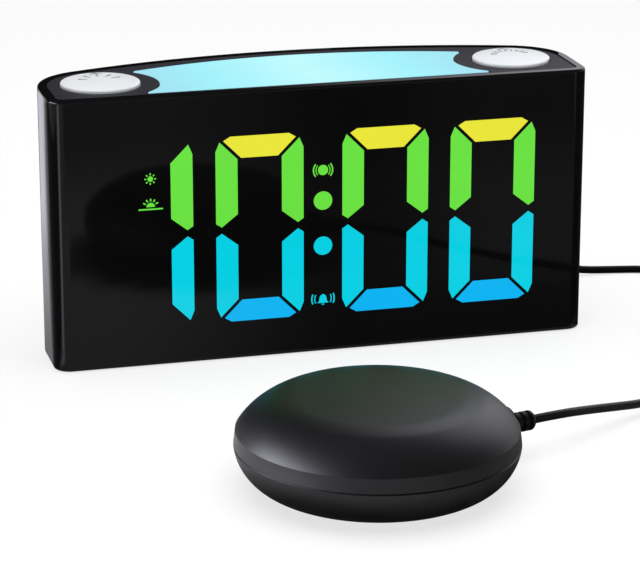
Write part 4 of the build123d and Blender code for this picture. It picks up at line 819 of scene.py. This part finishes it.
screw_tree, given, made = shape_tree("cross_screws", [
    ("Seats", "NodeSocketGeometry"), ("Head", "NodeSocketFloat"), ("Head Height", "NodeSocketFloat"),
    ("Shank", "NodeSocketFloat"), ("Length", "NodeSocketFloat"), ("Pitch", "NodeSocketFloat"),
    ("Finish", "NodeSocketMaterial"),
])


def lifted(geometry, height):
    up = add(screw_tree, "ShaderNodeCombineXYZ", Z=height)
    return add(screw_tree, "GeometryNodeTransform", Geometry=geometry, Translation=up.outputs[0]).outputs[0]


def times(*terms):
    return calc(screw_tree, "MULTIPLY", *terms)


head_r = times(given["Head"], 0.5)
drum = add(
    screw_tree, "GeometryNodeMeshCylinder", Vertices=HEAD_SIDES, Side_Segments=1, Fill_Segments=HEAD_RINGS,
    Radius=head_r, Depth=given["Head Height"],
)
drum = lifted(drum.outputs["Mesh"], times(given["Head Height"], 0.5))
at = screw_tree.nodes.new("ShaderNodeSeparateXYZ")
screw_tree.links.new(screw_tree.nodes.new("GeometryNodeInputPosition").outputs[0], at.inputs[0])
y_squared = times(at.outputs["Y"], at.outputs["Y"])
squared = calc(screw_tree, "MULTIPLY_ADD", at.outputs["X"], at.outputs["X"], y_squared)
outward = calc(screw_tree, "DIVIDE", calc(screw_tree, "SQRT", squared), head_r)
fall = times(times(calc(screw_tree, "POWER", outward, HEAD_CURVE), given["Head Height"]), -HEAD_FALL)
on_top = calc(screw_tree, "GREATER_THAN", at.outputs["Z"], times(given["Head Height"], 0.9))
sunk = add(screw_tree, "ShaderNodeCombineXYZ", Z=times(fall, on_top))
head = add(screw_tree, "GeometryNodeSetPosition", Geometry=drum, Offset=sunk.outputs[0]).outputs[0]
cross = screw_tree.nodes.new("GeometryNodeJoinGeometry")
for blade_x, blade_y in ((SLOT_L, SLOT_W), (SLOT_W, SLOT_L)):
    size = add(
        screw_tree, "ShaderNodeCombineXYZ", X=times(given["Head"], blade_x), Y=times(given["Head"], blade_y),
        Z=given["Head Height"],
    )
    blade = add(screw_tree, "GeometryNodeMeshCube", Size=size.outputs[0])
    screw_tree.links.new(lifted(blade.outputs["Mesh"], given["Head Height"]), cross.inputs[0])
cut = screw_tree.nodes.new("GeometryNodeMeshBoolean")
cut.operation = "DIFFERENCE"
screw_tree.links.new(head, cut.inputs["Mesh 1"])
screw_tree.links.new(cross.outputs[0], cut.inputs["Mesh 2"])
core = add(
    screw_tree, "GeometryNodeMeshCylinder", Vertices=CORE_SIDES, Radius=times(given["Shank"], CORE_SHARE),
    Depth=given["Length"],
)
core = lifted(core.outputs["Mesh"], times(given["Length"], -0.5))
ridge_r = times(given["Shank"], RIDGE_SHARE)
helix = add(
    screw_tree, "GeometryNodeCurveSpiral", Resolution=TURN_STEPS, Start_Radius=ridge_r, End_Radius=ridge_r,
    Rotations=calc(screw_tree, "DIVIDE", given["Length"], given["Pitch"]),
    Height=times(given["Length"], RIDGE_RUN),
)
edge = add(
    screw_tree, "GeometryNodeCurvePrimitiveCircle", Resolution=3, Radius=times(given["Pitch"], RIDGE_THICK)
)
ridge = add(screw_tree, "GeometryNodeCurveToMesh", Curve=helix.outputs[0], Profile_Curve=edge.outputs[0])
ridge = lifted(ridge.outputs[0], times(given["Length"], -RIDGE_LOW))
whole = screw_tree.nodes.new("GeometryNodeJoinGeometry")
for part in (cut.outputs["Mesh"], core, ridge):
    screw_tree.links.new(part, whole.inputs[0])
facing = screw_tree.nodes.new("GeometryNodeInputNamedAttribute")
facing.data_type = "FLOAT_VECTOR"
facing.inputs["Name"].default_value = "facing"
turn = add(screw_tree, "FunctionNodeAlignRotationToVector", Vector=facing.outputs["Attribute"])
turn.axis = "Z"
set_in = add(
    screw_tree, "GeometryNodeInstanceOnPoints", Points=given["Seats"], Instance=whole.outputs[0],
    Rotation=turn.outputs[0],
)
plain = add(screw_tree, "GeometryNodeRealizeInstances", Geometry=set_in.outputs[0])
coated = add(screw_tree, "GeometryNodeSetMaterial", Geometry=plain.outputs[0], Material=given["Finish"])
screw_tree.links.new(coated.outputs[0], made["Geometry"])


def screws(node, seats, way, length):
    """Screws that stand for a node's plain ones: where each head sits, and the way it faces."""
    mesh = bpy.data.meshes.new(node + "_set")
    mesh.from_pydata(seats, [], [])
    ways = mesh.attributes.new("facing", "FLOAT_VECTOR", "POINT")
    for item in ways.data:
        item.vector = way
    piece = grown(
        node + "_set", mesh, screw_tree, nodes[node]["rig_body"], "steel", Head=HEAD_D, Head_Height=HEAD_H,
        Shank=SHANK_D, Length=length, Pitch=PITCH, Finish=plated_steel,
    )
    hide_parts(node)


def inside(low, high):
    """The two places at which a row's outer heads sit."""
    return low + HEAD_D / 2, high - HEAD_D / 2


def corner_seats(node, y):
    """The four corners of an upright rectangle of screws."""
    low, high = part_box(node)
    return [(x, y, z) for x in inside(low.x, high.x) for z in inside(low.z, high.z)]


cover_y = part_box("cover_screws")[1].y - HEAD_H
display_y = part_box("display_screws")[1].y - HEAD_H
board_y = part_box("board_screws")[0].y + HEAD_H
screws("cover_screws", corner_seats("cover_screws", cover_y), (0, 1, 0), COVER_SCREW_L)
screws("display_screws", corner_seats("display_screws", display_y), (0, 1, 0), DISPLAY_SCREW_L)
screws("board_screws", corner_seats("board_screws", board_y), (0, -1, 0), BOARD_SCREW_L)

# Sockets in the bay: power inlet, two charging outlets and the shaker socket, sizes in millimetres.
# They are black mouldings and nickel-plated shells, soldered to the main board.
NICKEL = (0.62, 0.6, 0.56)
BAY_Z, INLET_X, INLET_PIN_R = 24.5, -10.0, 1.1
OUTLETS = (("left", 8.0), ("right", 25.0))
TONGUE_X, TONGUE_Z = 5.7, 2.4
bright_nickel = moulded(
    "bright_nickel", NICKEL, roughness=0.18, tone=0.05, grain=900.0, spread=0.05, depth=0.001, metal=1.0
)
dress("dc_jack", "power_inlet", moulded_black, [
    (lambda at: math.hypot(at.x - INLET_X, at.z - BAY_Z) < INLET_PIN_R, bright_nickel),
])
for side, outlet_x in OUTLETS:
    dress("usb_socket_" + side, "charging_outlet_" + side, bright_nickel, [
        (lambda at, x=outlet_x: abs(at.x - x) < TONGUE_X and abs(at.z - BAY_Z) < TONGUE_Z, moulded_black),
    ])
dress("shaker_socket", "shaker_outlet", moulded_black)

# Rear keys: two setting buttons, a mode slider and a notched dimmer wheel in satin black.
# They pass through the rear cover to switches on the main board.
satin_black = moulded(
    "satin_black", PART_BLACK, roughness=0.38, tone=0.1, grain=1800.0, spread=0.06, depth=0.008
)
dress("time_set_button", "time_set_cap", satin_black)
dress("alarm_set_button", "alarm_set_cap", satin_black)
dress("mode_slider", "mode_thumb", satin_black)
dress("dimmer_wheel", "dimmer_thumbwheel", satin_black)

# Loudspeaker: a pressed steel basket with its magnet, and a dark paper cone glued to its rim.
# It sits on a ring behind the cover's slots.
PAPER_BLACK = (0.013, 0.013, 0.013)
paper = moulded("cone_paper", PAPER_BLACK, roughness=0.85, tone=0.3, grain=500.0, depth=0.12, specular=0.2)
dress("speaker_cone", "loudspeaker_cone", paper)
dress("speaker_basket", "loudspeaker_basket", plated_steel)

# Back-up battery: a flat drawer of satin black plastic, with a round well for a steel coin cell.
# It slides in a sleeve behind the cover, where a sprung nickel contact presses on the cell.
CELL_GREY = (0.62, 0.62, 0.6)
cell_steel = moulded(
    "cell_steel", CELL_GREY, roughness=0.42, tone=0.06, grain=1600.0, spread=0.1, depth=0.003, metal=0.45
)
dress("battery_tray", "battery_drawer_tray", satin_black)
dress("coin_cell", "backup_cell", cell_steel)
paint(moulded_black, "battery_holder")
paint(bright_nickel, "battery_contact")

# Shaker shells: two bowls of satin charcoal plastic that meet in a fine seam, sizes in millimetres.
# Three screws from below hold them together, and a rubber pad lies under the base.
# The edge of the flat top is softly rounded.
CHARCOAL = (0.0053, 0.0053, 0.0059)
PUCK_CENTRE = Vector((-18.21, -72.3, 0))
CREASE, DISC_EDGE, PUCK_TOP = (45.6, 19.7), (30.1, 30.1), 30.8
SHOULDER_BULGE, DISC_SOFT = 1.85, 4.0
SKIN_SEGMENTS, SHOULDER_STEPS, DISC_STEPS = 160, 24, 40
ON_LINE, NEAR_LINE, FACES_UP = 0.02, 1.2, 0.05
satin_charcoal = moulded(
    "satin_charcoal", CHARCOAL, roughness=0.42, tone=0.06, grain=3000.0, spread=0.04, depth=0.004,
    specular=0.4, tint=COOL_GLOSS,
)


def shoulder_and_disc():
    """The top's turned profile from the crease to the middle: radius and height."""
    (r0, z0), (r1, z1) = CREASE, DISC_EDGE
    chord = math.hypot(r1 - r0, z1 - z0)
    radius = (chord**2 / 4 + SHOULDER_BULGE**2) / (2 * SHOULDER_BULGE)
    half = math.asin(chord / 2 / radius)
    out = math.atan2(r0 - r1, z1 - z0)
    middle_r = (r0 + r1) / 2 - (radius - SHOULDER_BULGE) * math.cos(out)
    middle_z = (z0 + z1) / 2 - (radius - SHOULDER_BULGE) * math.sin(out)
    angles = [out + half * (2 * i / SHOULDER_STEPS - 1) for i in range(SHOULDER_STEPS + 1)]
    shoulder = [(middle_r + radius * math.cos(a), middle_z + radius * math.sin(a)) for a in angles]
    rise = PUCK_TOP - z1
    dome = (r1**2 + rise**2) / (2 * rise)
    radii = [r1 * (1 - i / DISC_STEPS) for i in range(1, DISC_STEPS + 1)]
    return shoulder + [(r, PUCK_TOP - dome + math.sqrt(dome**2 - r**2)) for r in radii]


def softened(line):
    """The profile with the edge of its flat top made round."""
    near = [i for i, (r, z) in enumerate(line) if abs(r - DISC_EDGE[0]) < DISC_SOFT]
    first, last = line[near[0]], line[near[-1]]
    worn = list(line)
    for i in near:
        share = (i - near[0]) / (near[-1] - near[0])
        worn[i] = tuple(
            (1 - share) ** 2 * a + 2 * share * (1 - share) * b + share**2 * c
            for a, b, c in zip(first, DISC_EDGE, last)
        )
    return worn


def turned_skin(shape, profile):
    """Adds a turned skin to a mesh: rings of the profile, closed by a point in the middle."""
    turns = [2 * math.pi * i / SKIN_SEGMENTS for i in range(SKIN_SEGMENTS)]
    rings = []
    for r, z in profile[:-1]:
        rings.append([
            shape.verts.new((PUCK_CENTRE + Vector((r * math.cos(a), r * math.sin(a), z))) * MM) for a in turns
        ])
    top = shape.verts.new((PUCK_CENTRE + Vector((0, 0, profile[-1][1]))) * MM)
    for low, high in zip(rings, rings[1:]):
        for i in range(SKIN_SEGMENTS):
            j = (i + 1) % SKIN_SEGMENTS
            shape.faces.new((low[i], low[j], high[j], high[i])).smooth = True
    for i in range(SKIN_SEGMENTS):
        shape.faces.new((rings[-1][i], rings[-1][(i + 1) % SKIN_SEGMENTS], top)).smooth = True


top_profile = shoulder_and_disc()


def on_skin(vert):
    """Whether a vertex lies on the outside above the crease."""
    at = vert.co / MM - PUCK_CENTRE
    spot = (math.hypot(at.x, at.y), at.z)
    if at.z <= CREASE[1] - ON_LINE or min(math.dist(spot, p) for p in top_profile) >= NEAR_LINE:
        return False
    return any(
        abs(math.dist(spot, a) + math.dist(spot, b) - math.dist(a, b)) < ON_LINE
        for a, b in zip(top_profile, top_profile[1:])
    )


dome = dress("shaker_top_shell", "shaker_dome", satin_charcoal)
shape = bmesh.new()
shape.from_mesh(dome.data)
outside = {v for v in shape.verts if on_skin(v)}
gone = [f for f in shape.faces if all(v in outside for v in f.verts) and f.normal.z > FACES_UP]
bmesh.ops.delete(shape, geom=gone, context="FACES")
turned_skin(shape, softened(top_profile))
shape.to_mesh(dome.data)
shape.free()
dress("shaker_bottom_shell", "shaker_bowl", satin_charcoal)
dress("shaker_pad", "shaker_base_pad", soft_rubber)

# Shaker motor: a round steel can on a cradle in the lower shell, held by a bent steel clamp.
# A half-round brass weight is pressed on its shaft and shakes the shells as it turns.
# Three long screws from below close the shells round it.
BRASS = (0.5, 0.33, 0.1)
CLAMP_SCREW_L, SHELL_SCREW_L = 7.0 * MM, 12.0 * MM
SHELL_SCREW_R, SHELL_SCREW_TURNS = 34.4, (90, 210, 330)
heavy_brass = moulded(
    "heavy_brass", BRASS, roughness=0.35, tone=0.12, grain=900.0, spread=0.1, depth=0.01, metal=1.0
)
dress("shaker_motor", "shaker_motor_can", plated_steel)
dress("motor_shaft", "shaker_shaft", bright_nickel)
dress("eccentric_weight", "shaker_weight", heavy_brass)
dress("motor_clamp", "shaker_clamp", plated_steel)
low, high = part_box("clamp_screws")
clamp_seats = [((low.x + high.x) / 2, y, high.z - HEAD_H) for y in inside(low.y, high.y)]
screws("clamp_screws", clamp_seats, (0, 0, 1), CLAMP_SCREW_L)
shell_seat = Vector((0, 0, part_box("shaker_screws")[0].z + HEAD_H))
ways_out = [Vector((math.cos(math.radians(a)), math.sin(math.radians(a)), 0)) for a in SHELL_SCREW_TURNS]
shell_seats = [(PUCK_CENTRE + SHELL_SCREW_R * way_out) * MM + shell_seat for way_out in ways_out]
screws("shaker_screws", shell_seats, (0, 0, -1), SHELL_SCREW_L)

# Strain relief: a black rubber sleeve, moulded on the lead and grooved so that it bends.
# Its collar is held in a notch at the shaker's seam.
LEAD_BLACK = (0.004, 0.004, 0.0045)
lead_black = moulded(
    "lead_black", LEAD_BLACK, roughness=0.42, tone=0.1, grain=1500.0, spread=0.06, depth=0.01, specular=0.16
)
sleeve = dress("lead_strain_relief", "lead_sleeve", lead_black)

# Shaker lead: one black two-core lead, about 1.8 m, moulded into the strain relief at one end.
# Its spare length lies in a neat tied coil beside the clock, and a right-angled plug ends it.
# The route is in millimetres: from the relief over the table to the coil, and on to the plug.
LEAD_D, LEAD_LENGTH = 3.0 * MM, 1.776
LEAD_SIDES, LEAD_STEPS = 3, 4
COIL_CENTRE = (146.0, 39.4)
COIL_R, COIL_PITCH, COIL_LOW = 22.44, 3.55, 2.6
COIL_START = -60.0
COIL_LAYERS = (3.25, 3.25, 3.25, 2.0 + 11.0 / 12.0)
COIL_CLIMB = 0.5
POINTS_PER_TURN = 12
SMALL_TURN = 1e-4
RELIEF_END, RELIEF_TURN = Vector((39.01, -57.50, 11.6)), math.radians(14.5)
PLUG_TAIL = Vector((66.0, 118.75, 24.5))
RELIEF_RUN, COIL_RUN_IN, COIL_RUN_OUT, PLUG_RUN = 11, 15, 13, 12
SHAKER_TO_COIL = (
    (61.4, -47.3, 9.2), (75.0, -39.5, 6.4), (87.0, -33.3, 4.2), (102.0, -23.6, 2.4), (117.5, -11.4, 1.7),
    (132.0, 0.8, 2.1),
)
COIL_TO_PLUG = (
    (168.2, 67.0, 10.6), (168.5, 83.0, 5.4), (167.0, 98.0, 2.2), (161.0, 111.5, 1.5), (148.5, 120.5, 1.5),
    (133.0, 123.2, 1.6), (118.5, 123.4, 2.6), (104.5, 122.6, 8.6), (91.4, 120.6, 18.2),
)


def coil_point(turn):
    """A place on the put-away coil, with the turns let out by what the curve cuts off."""
    left, radius, z, way = turn, COIL_R, COIL_LOW, -1
    for layer, span in enumerate(COIL_LAYERS):
        last = layer == len(COIL_LAYERS) - 1
        step = left if last else min(left, span)
        radius += way * COIL_PITCH * step
        left -= step
        if last or left <= 0:
            break
        share = min(left, COIL_CLIMB) / COIL_CLIMB
        radius += way * COIL_PITCH * COIL_CLIMB * (share - share**2)
        z += COIL_PITCH * (3 * share**2 - 2 * share**3)
        left -= share * COIL_CLIMB
        way = -way
    radius *= 8 / (6 + 2 * math.cos(2 * math.pi / POINTS_PER_TURN))
    angle = math.radians(COIL_START + 360 * turn)
    return Vector((COIL_CENTRE[0] + radius * math.cos(angle), COIL_CENTRE[1] + radius * math.sin(angle), z))


coil_turns = sum(COIL_LAYERS) + COIL_CLIMB * (len(COIL_LAYERS) - 1)
coil_points = [coil_point(i / POINTS_PER_TURN) for i in range(round(coil_turns * POINTS_PER_TURN) + 1)]
entry = (coil_point(SMALL_TURN) - coil_point(0)).normalized()
leaving = (coil_point(coil_turns) - coil_point(coil_turns - SMALL_TURN)).normalized()
relief_way = Vector((math.cos(RELIEF_TURN), math.sin(RELIEF_TURN), 0))
lead_route = [
    RELIEF_END, RELIEF_END + RELIEF_RUN * relief_way, *SHAKER_TO_COIL, coil_points[0] - COIL_RUN_IN * entry,
    *coil_points, coil_points[-1] + COIL_RUN_OUT * leaving,
    *COIL_TO_PLUG, PLUG_TAIL + Vector((PLUG_RUN, 0, 0)), PLUG_TAIL,
]
lead_line = bpy.data.curves.new("shaker_lead_cord", "CURVE")
lead_line.dimensions = "3D"
lead_line.bevel_depth = LEAD_D / 2
lead_line.bevel_resolution = LEAD_SIDES
lead_line.resolution_u = LEAD_STEPS
lead_line.use_fill_caps = True
spline = lead_line.splines.new("NURBS")
spline.points.add(len(lead_route) - 1)
for point, spot in zip(spline.points, lead_route):
    point.co = (*(Vector(spot) * MM), 1)
spline.order_u = 3
spline.use_endpoint_u = True
lead_line.materials.append(lead_black)
lead = place("shaker_lead_cord", lead_line)
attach(lead, ROOT)
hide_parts("shaker_lead", "cord_coil", "clock_lead")
plug = dress("jack_plug", "lead_plug", lead_black)
pin = dress("plug_pin", "lead_plug_pin", bright_nickel)
tie = dress("coil_tie", "lead_tie", satin_black)
